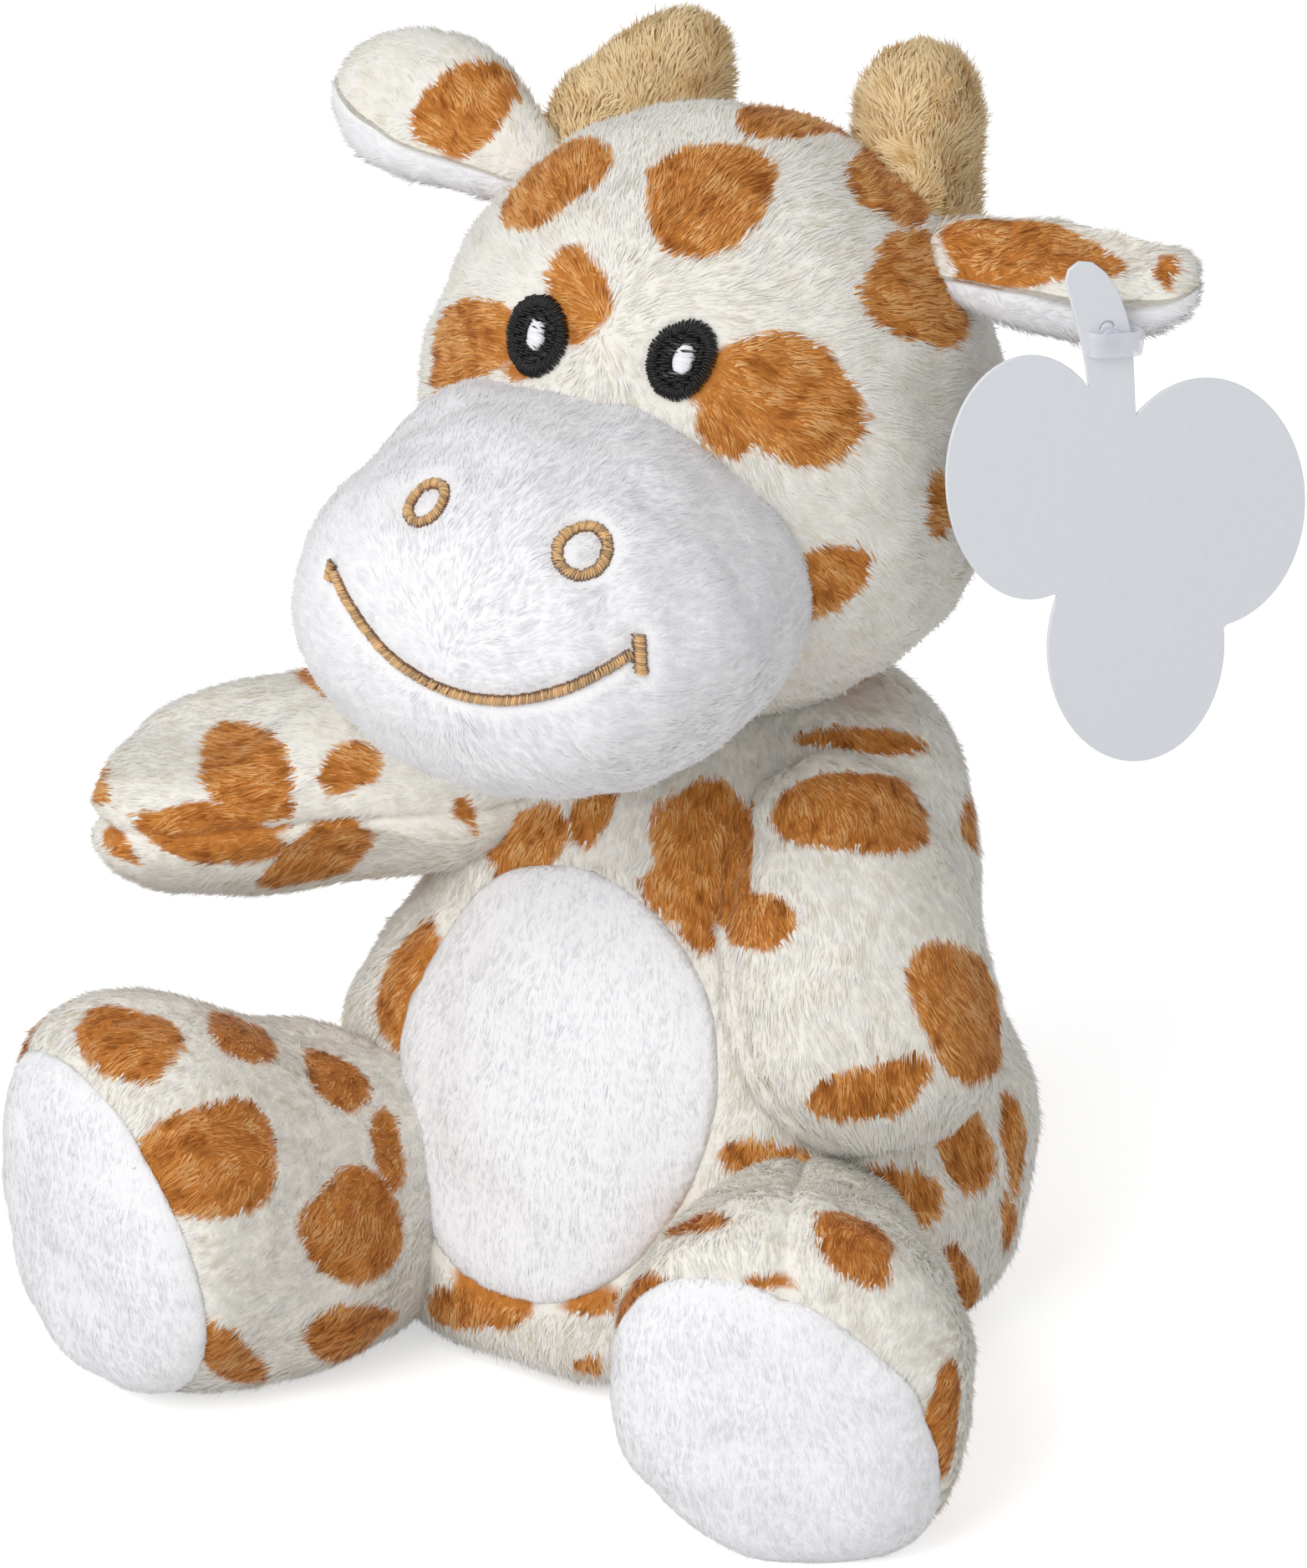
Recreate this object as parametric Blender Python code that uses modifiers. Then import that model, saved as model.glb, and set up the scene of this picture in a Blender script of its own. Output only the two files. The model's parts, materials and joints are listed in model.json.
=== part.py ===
"""A seated plush giraffe, modelled as the separate stuffed and sewn pieces that it is made of.

Units are metres and +Z is up. The giraffe sits on the plane z = 0 and looks along -Y, so its
own right side is at -X. The origin is the middle of the flat seat under the torso.
"""

import math
from dataclasses import dataclass

import bmesh
import bpy
from mathutils import Matrix, Vector

# Clearances shared by all pieces
SEAM_GAP = 0.0003
CUT_OVERRUN = 0.004
FLOOR_DEPTH = 0.020
SEAT_FLATTENING = 0.0005

# Torso: a pear, widest at the hips, with a round dome on top that carries the head
TORSO_HEIGHT = 0.0925
TORSO_WIDTH = 0.0900
TORSO_DEPTH = 0.0840
TORSO_HEIGHT_SHARES = (0.003, 0.09, 0.25, 0.40, 0.55, 0.69, 0.81, 0.91, 0.98)
TORSO_RADIUS_SHARES = (0.84, 1.00, 1.02, 0.99, 0.92, 0.81, 0.66, 0.47, 0.22)
TORSO_LEAN_SHARES = (-0.07, -0.06, -0.04, -0.02, 0.01, 0.04, 0.06, 0.07, 0.07)

BELLY_PATCH_WIDTH = 0.0495
BELLY_PATCH_HEIGHT = 0.0550
BELLY_PATCH_CENTRE_X = -0.0042
BELLY_PATCH_CENTRE_Z = 0.0420
BELLY_PATCH_THICKNESS = 0.0015

# Neck: the head turns on the round dome of the torso
NECK_BALL_RADIUS = 0.0265
NECK_BALL_CENTRE_Z = 0.0670

# Head
HEAD_WIDTH = 0.0790
HEAD_DEPTH = 0.0760
HEAD_HEIGHT = 0.0820
HEAD_CENTRE_Y = 0.0040
HEAD_CENTRE_Z = 0.1255
HEAD_HEIGHT_SHARES = (0.03, 0.12, 0.25, 0.39, 0.54, 0.68, 0.81, 0.91, 0.98)
HEAD_RADIUS_SHARES = (0.40, 0.72, 0.93, 1.01, 1.00, 0.93, 0.78, 0.57, 0.28)

# Muzzle: a wide soft snout on the front of the head
MUZZLE_WIDTH = 0.0680
MUZZLE_HEIGHT = 0.0510
MUZZLE_LENGTH = 0.0650
MUZZLE_ROOT_Y = -0.0030
MUZZLE_CENTRE_Z = 0.1130
MUZZLE_DROOP = 0.0010
MUZZLE_LENGTH_SHARES = (0.06, 0.24, 0.45, 0.64, 0.80, 0.91, 0.98)
MUZZLE_RADIUS_SHARES = (0.55, 0.90, 1.00, 0.99, 0.88, 0.66, 0.34)

# Face: embroidered eyes on the head, nostrils and smile on the muzzle
THREAD_HEIGHT = 0.0009
EYE_WIDTH = 0.0086
EYE_HEIGHT = 0.0108
RIGHT_EYE_X = -0.0092
RIGHT_EYE_Z = 0.1425
LEFT_EYE_X = 0.0112
LEFT_EYE_Z = 0.1425
GLINT_WIDTH = 0.0024
GLINT_HEIGHT = 0.0036
GLINT_RISE = 0.0004
NOSTRIL_WIDTH = 0.0072
NOSTRIL_HEIGHT = 0.0084
NOSTRIL_THREAD_WIDTH = 0.0017
RIGHT_NOSTRIL_PLACE = (-0.0080, -0.0575, 0.1306)
LEFT_NOSTRIL_PLACE = (0.0136, -0.0590, 0.1286)
NOSTRIL_TILT = math.radians(38)
NOSTRIL_REACH = 0.0060
SMILE_WIDTH = 0.0430
SMILE_DEPTH = 0.0100
SMILE_CENTRE_X = 0.0010
SMILE_CORNER_Z = 0.1195
SMILE_THREAD_WIDTH = 0.0017
SMILE_TICK_LENGTH = 0.0050

# Horns
HORN_WIDTH = 0.0200
HORN_LENGTH = 0.0280
HORN_FOOT_X = 0.0245
HORN_FOOT_Y = 0.0200
HORN_FOOT_Z = 0.1460
HORN_LEAN_IN = math.radians(20)
HORN_LEAN_BACK = math.radians(26)
HORN_LENGTH_SHARES = (0.08, 0.30, 0.55, 0.78, 0.94)
HORN_RADIUS_SHARES = (0.60, 0.86, 0.97, 0.98, 0.62)

# Ears: a spotted outer half and a pale lining half, sewn together along the edge
EAR_LENGTH = 0.0330
EAR_WIDTH = 0.0190
EAR_THICKNESS = 0.0120
EAR_ROOT_RADIUS = 0.0060
EAR_ROOT_X = 0.0325
EAR_ROOT_Y = 0.0110
RIGHT_EAR_ROOT_Z = 0.1520
LEFT_EAR_ROOT_Z = 0.1490
EAR_SWEEP_BACK = math.radians(10)
RIGHT_EAR_RISE = math.radians(12)
LEFT_EAR_RISE = math.radians(0)
EAR_TILT = math.radians(38)
EAR_LENGTH_SHARES = (0.05, 0.16, 0.32, 0.52, 0.74, 0.92)
EAR_WIDTH_SHARES = (0.42, 0.64, 0.76, 1.00, 1.00, 0.62)
RIGHT_EAR_RANGE = (math.radians(-12), math.radians(20))
LEFT_EAR_RANGE = (math.radians(-15), math.radians(0))

# Arms
RIGHT_ARM_LENGTH = 0.0530
LEFT_ARM_LENGTH = 0.0430
ARM_WIDTH = 0.0400
ARM_THICKNESS = 0.0310
ARM_ROOT_RADIUS = 0.0130
SHOULDER_X = 0.0260
SHOULDER_Y = -0.0120
SHOULDER_Z = 0.0740
ARM_LENGTH_SHARES = (0.06, 0.16, 0.34, 0.52, 0.72, 0.88, 0.97)
ARM_RADIUS_SHARES = (0.52, 0.76, 0.90, 0.99, 1.00, 0.80, 0.45)
RIGHT_ARM_FORWARD = math.radians(26)
RIGHT_ARM_DROP = math.radians(5)
LEFT_ARM_SIDE = math.radians(55)
LEFT_ARM_SPLAY = math.radians(29)
RIGHT_ARM_RANGE = (math.radians(-25), math.radians(8))
LEFT_ARM_RANGE = (math.radians(0), math.radians(50))

# Legs and their soles
LEG_LENGTH = 0.0560
LEG_WIDTH = 0.0480
LEG_HEIGHT = 0.0530
LEG_ROOT_RADIUS = 0.0150
HIP_X = 0.0290
HIP_Y = -0.0240
HIP_Z = 0.0180
LEG_LENGTH_SHARES = (0.05, 0.14, 0.32, 0.52, 0.72, 0.90, 0.98)
LEG_RADIUS_SHARES = (0.44, 0.60, 0.69, 0.82, 0.96, 0.97, 0.66)
LEG_LEAN_SHARES = (0.00, 0.00, 0.01, 0.05, 0.10, 0.12, 0.12)
RIGHT_LEG_SPLAY = math.radians(25)
LEFT_LEG_SPLAY = math.radians(24)
RIGHT_LEG_RISE = math.radians(3)
LEFT_LEG_RISE = math.radians(0)
LEG_RANGE = (math.radians(-6), math.radians(12))
SOLE_THICKNESS = 0.0018
SOLE_DEPTH = 0.0068
RIGHT_SOLE_TILT = math.radians(3)
LEFT_SOLE_TILT = math.radians(17)

# Tail with its tuft
TAIL_LENGTH = 0.0340
TAIL_WIDTH = 0.0085
TAIL_ROOT_RADIUS = 0.0045
TAIL_ROOT_Z = 0.0330
TAIL_ROOT_SHARE = 0.97
TAIL_DROP = math.radians(35)
TAIL_LENGTH_SHARES = (0.06, 0.30, 0.65, 0.94)
TAIL_RADIUS_SHARES = (0.80, 1.00, 0.94, 0.80)
TAIL_RANGE = (math.radians(-25), math.radians(25))
TUFT_LENGTH = 0.0170
TUFT_WIDTH = 0.0130
TUFT_OVERLAP = 0.0070
TUFT_LENGTH_SHARES = (0.06, 0.28, 0.58, 0.88)
TUFT_RADIUS_SHARES = (0.74, 1.00, 0.92, 0.50)

# Swing tag: a three-lobed card that hangs in front of the left ear from a clear pin
CARD_THICKNESS = 0.0005
CARD_NECK_WIDTH = 0.0066
CARD_NECK_SHIFT = 0.0009
CARD_TONGUE_RADIUS = 0.0043
CARD_TONGUE_RISE = 0.0036
CARD_TONGUE_SHIFT = -0.0010
CARD_TONGUE_LEAN = math.radians(16)
LOBE_LEFT = (-0.0096, -0.0215, 0.0138, 0.0162)
LOBE_RIGHT = (0.0146, -0.0240, 0.0154, 0.0162)
LOBE_BOTTOM = (0.0051, -0.0460, 0.0134, 0.0140)
CARD_TURN = math.radians(54)
CARD_PIN_X = 0.0573
CARD_PIN_Y = 0.0039
CARD_PIN_Z = 0.1449
PIN_RADIUS = 0.0005
PIN_HEAD_RADIUS = 0.0014
PIN_HEAD_THICKNESS = 0.0006
PIN_LENGTH = 0.0150
PIN_HOLE_RADIUS = 0.0009
BAND_HEIGHT = 0.0032
BAND_WALL = 0.0006
BAND_DROP = 0.0016

# Fineness of the meshes
BODY_CAGE_SIDES = 14
LIMB_CAGE_SIDES = 12
SMALL_CAGE_SIDES = 8
SUBDIVISIONS = 1
BALL_SIDES = 20
SMALL_BALL_SIDES = 12
BALL_TURN = math.radians(7)
SWEEP_COPIES = 5
OUTLINE_STEPS = 24
ARC_STEPS = 14
CARD_STEPS = 60
MERGE_DISTANCE = 0.000001


@dataclass(frozen=True)
class Form:
    """A stuffed form along its own +Z, from its root at 0 to its tip at its length."""

    length: float
    width: float
    depth: float
    length_shares: tuple
    radius_shares: tuple
    sides: int
    lean_shares: tuple = ()


def empty_scene():
    """Remove whatever the scene holds."""
    for scene_object in list(bpy.data.objects):
        bpy.data.objects.remove(scene_object, do_unlink=True)


def new_collection(name):
    """Return a new collection that is linked to the scene."""
    collection = bpy.data.collections.new(name)
    bpy.context.scene.collection.children.link(collection)
    return collection


def new_material(name, colour, roughness):
    """Return a plain Principled material."""
    material = bpy.data.materials.new(name)
    material.use_nodes = True
    shader = material.node_tree.nodes["Principled BSDF"]
    shader.inputs["Base Color"].default_value = (*colour, 1.0)
    shader.inputs["Roughness"].default_value = roughness
    shader.inputs["Metallic"].default_value = 0.0
    return material


class Workshop:
    """The two collections and the materials, and the ways to add objects to them."""

    def __init__(self):
        self.parts = new_collection("plush_giraffe")
        self.cutters = new_collection("plush_giraffe_cutters")
        self.materials = {
            "spotted_plush": new_material("spotted_plush", (0.86, 0.74, 0.58), 0.9),
            "white_plush": new_material("white_plush", (0.92, 0.92, 0.92), 0.9),
            "tan_plush": new_material("tan_plush", (0.74, 0.52, 0.28), 0.9),
            "black_thread": new_material("black_thread", (0.02, 0.02, 0.02), 0.6),
            "white_thread": new_material("white_thread", (0.9, 0.9, 0.9), 0.6),
            "gold_thread": new_material("gold_thread", (0.62, 0.40, 0.18), 0.5),
            "tag_card": new_material("tag_card", (0.72, 0.76, 0.80), 0.7),
            "clear_plastic": new_material("clear_plastic", (0.85, 0.88, 0.90), 0.2),
        }

    def add_part(self, name, mesh, material_name, placing=None):
        """Add one named piece of the giraffe."""
        mesh.name = name
        mesh.materials.clear()
        mesh.materials.append(self.materials[material_name])
        part = bpy.data.objects.new(name, mesh)
        self.parts.objects.link(part)
        if placing is not None:
            part.matrix_world = placing
        return part

    def add_cutter(self, name, mesh, placing=None):
        """Add a shape that only cuts, and is never part of the giraffe."""
        cutter = bpy.data.objects.new(name, mesh)
        cutter.hide_render = True
        cutter.display_type = "WIRE"
        self.cutters.objects.link(cutter)
        if placing is not None:
            cutter.matrix_world = placing
        return cutter

    def add_pivot(self, name, location):
        """Add an empty on a joint's axis."""
        pivot = bpy.data.objects.new(name, None)
        pivot.location = location
        self.parts.objects.link(pivot)
        return pivot


def carry(pivot, *pieces):
    """Parent pieces to a pivot and leave them where they are."""
    bpy.context.view_layer.update()
    for piece in pieces:
        placing = piece.matrix_world.copy()
        piece.parent = pivot
        piece.matrix_parent_inverse = pivot.matrix_world.inverted()
        piece.matrix_world = placing


def subdivide(piece):
    """Smooth a coarse cage."""
    modifier = piece.modifiers.new("soft", "SUBSURF")
    modifier.levels = SUBDIVISIONS
    modifier.render_levels = SUBDIVISIONS
    return piece


def boolean(piece, cutter, operation="DIFFERENCE", solver="EXACT"):
    """Cut, trim or join a piece with another shape."""
    modifier = piece.modifiers.new(cutter.name, "BOOLEAN")
    modifier.object = cutter
    modifier.operation = operation
    modifier.solver = solver
    return piece


def mesh_from(bm, name, smooth=True):
    """Turn a bmesh into mesh data."""
    mesh = bpy.data.meshes.new(name)
    bm.to_mesh(mesh)
    bm.free()
    for polygon in mesh.polygons:
        polygon.use_smooth = smooth
    return mesh


def cage_swell(sides):
    """Return what a ring of cage points loses to one subdivision, as a factor that gives it back."""
    return 1 / math.cos(math.pi / sides)


def form_mesh(name, form, grow=0.0):
    """Return the cage of a stuffed form, larger by grow on every side."""
    rings = len(form.length_shares) + 1
    leans = form.lean_shares or (0,) * len(form.length_shares)
    swell = cage_swell(form.sides)
    bm = bmesh.new()
    bmesh.ops.create_uvsphere(bm, u_segments=form.sides, v_segments=rings, radius=1)
    for point in bm.verts:
        polar = math.acos(max(-1, min(1, point.co.z)))
        ring = rings - round(polar / math.pi * rings)
        around = Vector((point.co.x, point.co.y))
        if ring == 0:
            point.co = Vector((0, leans[0] * form.depth, -grow))
            continue
        if ring == rings:
            point.co = Vector((0, leans[-1] * form.depth, form.length + grow))
            continue
        around.normalize()
        along_share = form.length_shares[ring - 1]
        radius_share = form.radius_shares[ring - 1]
        half_width = (form.width / 2 * radius_share + grow) * swell
        half_depth = (form.depth / 2 * radius_share + grow) * swell
        point.co.x = around.x * half_width
        point.co.y = around.y * half_depth + leans[ring - 1] * form.depth
        point.co.z = form.length * along_share + grow * (2 * along_share - 1)
    return mesh_from(bm, name)


def ball_mesh(name, radius, sides):
    """Return a faceted ball whose corners lie on its radius."""
    bm = bmesh.new()
    bmesh.ops.create_uvsphere(bm, u_segments=sides, v_segments=sides // 2, radius=radius)
    return mesh_from(bm, name)


def socket_radius(root_radius, sides):
    """Return the corner radius of a faceted socket that a faceted ball turns in freely."""
    return (root_radius + SEAM_GAP) * cage_swell(sides) ** 2


def box_mesh(name, low, high):
    """Return a box between two corners."""
    bm = bmesh.new()
    bmesh.ops.create_cube(bm, size=1)
    middle = (Vector(low) + Vector(high)) / 2
    size = Vector(high) - Vector(low)
    for point in bm.verts:
        point.co = Vector(middle[i] + point.co[i] * size[i] for i in range(3))
    return mesh_from(bm, name, smooth=False)


def oval_prism(name, half_width, half_height, y_low, y_high, steps=OUTLINE_STEPS):
    """Return an oval bar along Y, centred on the Y axis."""
    bm = bmesh.new()
    bmesh.ops.create_cone(
        bm,
        cap_ends=True,
        segments=steps,
        radius1=1,
        radius2=1,
        depth=1,
    )
    for point in bm.verts:
        across, up, along = point.co
        y = y_low if along > 0 else y_high
        point.co = Vector((across * half_width, y, up * half_height))
    bmesh.ops.recalc_face_normals(bm, faces=bm.faces)
    return mesh_from(bm, name)


def band_prism(name, centre_line, thread_width, y_low, y_high, closed=False):
    """Return a thin bar along Y that follows a line of (x, z) points at a constant width."""
    count = len(centre_line)
    bm = bmesh.new()
    rows = []
    for index, (x, z) in enumerate(centre_line):
        before = centre_line[index - 1] if closed or index else centre_line[index]
        after_index = (index + 1) % count if closed else min(index + 1, count - 1)
        after = centre_line[after_index]
        direction = Vector((after[0] - before[0], after[1] - before[1])).normalized()
        side = Vector((-direction.y, direction.x)) * thread_width / 2
        corners = []
        for y in (y_low, y_high):
            for sign in (-1, 1):
                corners.append(bm.verts.new((x + side.x * sign, y, z + side.y * sign)))
        rows.append(corners)
    spans = count if closed else count - 1
    for index in range(spans):
        a = rows[index]
        b = rows[(index + 1) % count]
        for i, j in ((0, 1), (1, 3), (3, 2), (2, 0)):
            bm.faces.new((a[i], a[j], b[j], b[i]))
    if not closed:
        for row in (rows[0], rows[-1]):
            bm.faces.new((row[0], row[1], row[3], row[2]))
    bmesh.ops.recalc_face_normals(bm, faces=bm.faces)
    return mesh_from(bm, name)


def placing_along(root, direction, roll_reference):
    """Return the placing whose +Z points along direction, with X square to a reference."""
    axis_z = Vector(direction).normalized()
    axis_x = Vector(roll_reference).cross(axis_z).normalized()
    axis_y = axis_z.cross(axis_x)
    rotation = Matrix((axis_x, axis_y, axis_z)).transposed().to_4x4()
    return Matrix.Translation(root) @ rotation


def turned_about(pivot, axis, angle):
    """Return the turn by an angle about an axis through a pivot."""
    there = Matrix.Translation(pivot)
    back = Matrix.Translation(-Vector(pivot))
    return there @ Matrix.Rotation(angle, 4, Vector(axis)) @ back


def clear_for_swing(shop, piece, larger_mesh, larger_placing, pivot, axis, swing):
    """Cut a piece so that it stays clear of a larger form wherever its joint stands.

    The copies of the larger form lie close together, and only the manifold solver stays
    closed where nearly equal faces cross.
    """
    low, high = swing
    for copy in range(SWEEP_COPIES):
        angle = low + (high - low) * copy / (SWEEP_COPIES - 1)
        placing = turned_about(pivot, axis, -angle) @ larger_placing
        cutter = shop.add_cutter(f"{piece.name}_clearance_{copy}", larger_mesh, placing)
        boolean(piece, subdivide(cutter), solver="MANIFOLD")


TORSO_FORM = Form(
    TORSO_HEIGHT + SEAT_FLATTENING,
    TORSO_WIDTH,
    TORSO_DEPTH,
    TORSO_HEIGHT_SHARES,
    TORSO_RADIUS_SHARES,
    BODY_CAGE_SIDES,
    TORSO_LEAN_SHARES,
)
HEAD_FORM = Form(
    HEAD_HEIGHT,
    HEAD_WIDTH,
    HEAD_DEPTH,
    HEAD_HEIGHT_SHARES,
    HEAD_RADIUS_SHARES,
    BODY_CAGE_SIDES,
)
MUZZLE_FORM = Form(
    MUZZLE_LENGTH,
    MUZZLE_WIDTH,
    MUZZLE_HEIGHT,
    MUZZLE_LENGTH_SHARES,
    MUZZLE_RADIUS_SHARES,
    BODY_CAGE_SIDES,
)
HORN_FORM = Form(
    HORN_LENGTH,
    HORN_WIDTH,
    HORN_WIDTH,
    HORN_LENGTH_SHARES,
    HORN_RADIUS_SHARES,
    SMALL_CAGE_SIDES,
)
EAR_FORM = Form(
    EAR_LENGTH + EAR_ROOT_RADIUS,
    EAR_WIDTH,
    EAR_THICKNESS,
    EAR_LENGTH_SHARES,
    EAR_WIDTH_SHARES,
    SMALL_CAGE_SIDES,
)
LEG_FORM = Form(
    LEG_LENGTH + LEG_ROOT_RADIUS,
    LEG_WIDTH,
    LEG_HEIGHT,
    LEG_LENGTH_SHARES,
    LEG_RADIUS_SHARES,
    LIMB_CAGE_SIDES,
    LEG_LEAN_SHARES,
)
TAIL_FORM = Form(
    TAIL_LENGTH + TAIL_ROOT_RADIUS,
    TAIL_WIDTH,
    TAIL_WIDTH,
    TAIL_LENGTH_SHARES,
    TAIL_RADIUS_SHARES,
    SMALL_CAGE_SIDES,
)
TUFT_FORM = Form(
    TUFT_LENGTH,
    TUFT_WIDTH,
    TUFT_WIDTH,
    TUFT_LENGTH_SHARES,
    TUFT_RADIUS_SHARES,
    SMALL_CAGE_SIDES,
)

TORSO_PLACING = Matrix.Translation((0, 0, -SEAT_FLATTENING))
NECK_CENTRE = (0, HEAD_CENTRE_Y, NECK_BALL_CENTRE_Z)
HEAD_PLACING = Matrix.Translation((0, HEAD_CENTRE_Y, HEAD_CENTRE_Z - HEAD_HEIGHT / 2))
MUZZLE_PLACING = placing_along(
    (0, MUZZLE_ROOT_Y, MUZZLE_CENTRE_Z + MUZZLE_DROOP),
    (0, -MUZZLE_LENGTH, -MUZZLE_DROOP),
    (0, 0, 1),
)


def floor_cutter(shop):
    """Add the slab under the seat plane that cuts every form flat."""
    reach = TORSO_WIDTH * 2
    mesh = box_mesh("floor", (-reach, -reach, -FLOOR_DEPTH), (reach, reach, 0))
    return shop.add_cutter("floor_cut", mesh)


def ball_cutter(shop, name, radius, centre, sides=BALL_SIDES):
    """Add a ball that cuts a socket or joins a root."""
    placing = Matrix.Translation(centre) @ Matrix.Rotation(BALL_TURN, 4, (1, 1, 1))
    return shop.add_cutter(name, ball_mesh(name, radius, sides), placing)


def cut_socket(shop, pieces, name, root_radius, centre, sides=BALL_SIDES):
    """Cut the socket of a ball-shaped root into the pieces that hold it."""
    socket = ball_cutter(shop, name, socket_radius(root_radius, sides), centre, sides)
    for piece in pieces:
        boolean(piece, socket)


def arm_form(length):
    """Return an arm's form, from inside the shoulder to its tip."""
    return Form(
        length + ARM_ROOT_RADIUS,
        ARM_WIDTH,
        ARM_THICKNESS,
        ARM_LENGTH_SHARES,
        ARM_RADIUS_SHARES,
        LIMB_CAGE_SIDES,
    )


def mirrored(x, side):
    """Return a distance from the middle plane on the given side: -1 right, +1 left."""
    return x * side


def build_torso(shop, floor):
    """Make the torso with its neck dome, and the belly patch let into its front."""
    torso = shop.add_part("torso", form_mesh("torso", TORSO_FORM), "spotted_plush", TORSO_PLACING)
    subdivide(torso)
    boolean(torso, ball_cutter(shop, "neck_dome", NECK_BALL_RADIUS, NECK_CENTRE), "UNION")
    boolean(torso, floor)
    half_width = BELLY_PATCH_WIDTH / 2
    half_height = BELLY_PATCH_HEIGHT / 2
    placing = Matrix.Translation((BELLY_PATCH_CENTRE_X, 0, BELLY_PATCH_CENTRE_Z))
    patch_mesh = oval_prism("belly_patch", half_width, half_height, -TORSO_DEPTH, 0)
    patch = shop.add_part("belly_patch", patch_mesh, "white_plush", placing)
    outer_mesh = form_mesh("patch_outer", TORSO_FORM)
    inner_mesh = form_mesh("patch_inner", TORSO_FORM, -BELLY_PATCH_THICKNESS)
    outer = subdivide(shop.add_cutter("patch_outer_cut", outer_mesh, TORSO_PLACING))
    inner = subdivide(shop.add_cutter("patch_inner_cut", inner_mesh, TORSO_PLACING))
    boolean(patch, outer, "INTERSECT")
    boolean(patch, inner)
    bed_mesh = oval_prism(
        "patch_bed", half_width + SEAM_GAP, half_height + SEAM_GAP, -TORSO_DEPTH, 0
    )
    bed = shop.add_cutter("patch_bed_cut", bed_mesh, placing)
    core_mesh = form_mesh("patch_bed_core", TORSO_FORM, -BELLY_PATCH_THICKNESS - SEAM_GAP)
    core = subdivide(shop.add_cutter("patch_bed_core_cut", core_mesh, TORSO_PLACING))
    boolean(bed, core)
    boolean(torso, bed)
    return torso, patch


def build_head(shop):
    """Make the head with the hollow that it turns on."""
    head = shop.add_part("head", form_mesh("head", HEAD_FORM), "spotted_plush", HEAD_PLACING)
    subdivide(head)
    cut_socket(shop, (head,), "neck_seat_cut", NECK_BALL_RADIUS, NECK_CENTRE)
    return head


def build_muzzle(shop):
    """Make the muzzle, hollowed at its root where it is sewn to the head."""
    muzzle = shop.add_part(
        "muzzle", form_mesh("muzzle", MUZZLE_FORM), "white_plush", MUZZLE_PLACING
    )
    subdivide(muzzle)
    inner_mesh = form_mesh("head_inner", HEAD_FORM, SEAM_GAP)
    boolean(muzzle, subdivide(shop.add_cutter("muzzle_root_cut", inner_mesh, HEAD_PLACING)))
    return muzzle


def raise_on_form(shop, part, form, placing, low, high):
    """Trim a bar to the thin skin between two growths of a form."""
    outer_mesh = form_mesh(f"{part.name}_outer", form, high)
    inner_mesh = form_mesh(f"{part.name}_inner", form, low)
    outer = subdivide(shop.add_cutter(f"{part.name}_outer_cut", outer_mesh, placing))
    inner = subdivide(shop.add_cutter(f"{part.name}_inner_cut", inner_mesh, placing))
    boolean(part, outer, "INTERSECT")
    boolean(part, inner)


def build_eyes(shop):
    """Make the two embroidered eyes, each with its pale glint, above the muzzle's root."""
    face_y = HEAD_CENTRE_Y - HEAD_DEPTH
    muzzle_mesh = form_mesh("eye_muzzle", MUZZLE_FORM, SEAM_GAP)
    muzzle_room = subdivide(shop.add_cutter("eye_muzzle_cut", muzzle_mesh, MUZZLE_PLACING))
    eyes = (("right", RIGHT_EYE_X, RIGHT_EYE_Z), ("left", LEFT_EYE_X, LEFT_EYE_Z))
    pieces = []
    for side_name, x, z in eyes:
        placing = Matrix.Translation((x, 0, z))
        eye = shop.add_part(
            f"{side_name}_eye",
            oval_prism("eye", EYE_WIDTH / 2, EYE_HEIGHT / 2, face_y, HEAD_CENTRE_Y),
            "black_thread",
            placing,
        )
        eye_top = SEAM_GAP + THREAD_HEIGHT
        raise_on_form(shop, eye, HEAD_FORM, HEAD_PLACING, SEAM_GAP, eye_top)
        boolean(eye, muzzle_room)
        glint = shop.add_part(
            f"{side_name}_eye_glint",
            oval_prism("glint", GLINT_WIDTH / 2, GLINT_HEIGHT / 2, face_y, HEAD_CENTRE_Y),
            "white_thread",
            placing,
        )
        glint_low = eye_top + SEAM_GAP
        raise_on_form(shop, glint, HEAD_FORM, HEAD_PLACING, glint_low, glint_low + GLINT_RISE)
        pieces += [eye, glint]
    return pieces


def oval_line(half_width, half_height, steps):
    """Return points on an oval about the origin."""
    points = []
    for step in range(steps):
        angle = 2 * math.pi * step / steps
        points.append((half_width * math.cos(angle), half_height * math.sin(angle)))
    return points


def smile_line():
    """Return the points of the smile, from the right corner to the left one."""
    points = []
    for step in range(OUTLINE_STEPS + 1):
        share = 2 * step / OUTLINE_STEPS - 1
        x = SMILE_CENTRE_X + SMILE_WIDTH / 2 * share
        points.append((x, SMILE_CORNER_Z - SMILE_DEPTH * (1 - share * share)))
    return points


def tick_line(side):
    """Return the short stroke across the end of the smile on one side."""
    end_slope = math.atan(4 * SMILE_DEPTH / SMILE_WIDTH)
    end_reach = SMILE_THREAD_WIDTH / 2 * math.sin(end_slope)
    reach = SMILE_WIDTH / 2 + end_reach + SEAM_GAP + SMILE_THREAD_WIDTH / 2
    x = SMILE_CENTRE_X + mirrored(reach, side)
    half = SMILE_TICK_LENGTH / 2
    return [(x, SMILE_CORNER_Z - half), (x, SMILE_CORNER_Z + half)]


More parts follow.
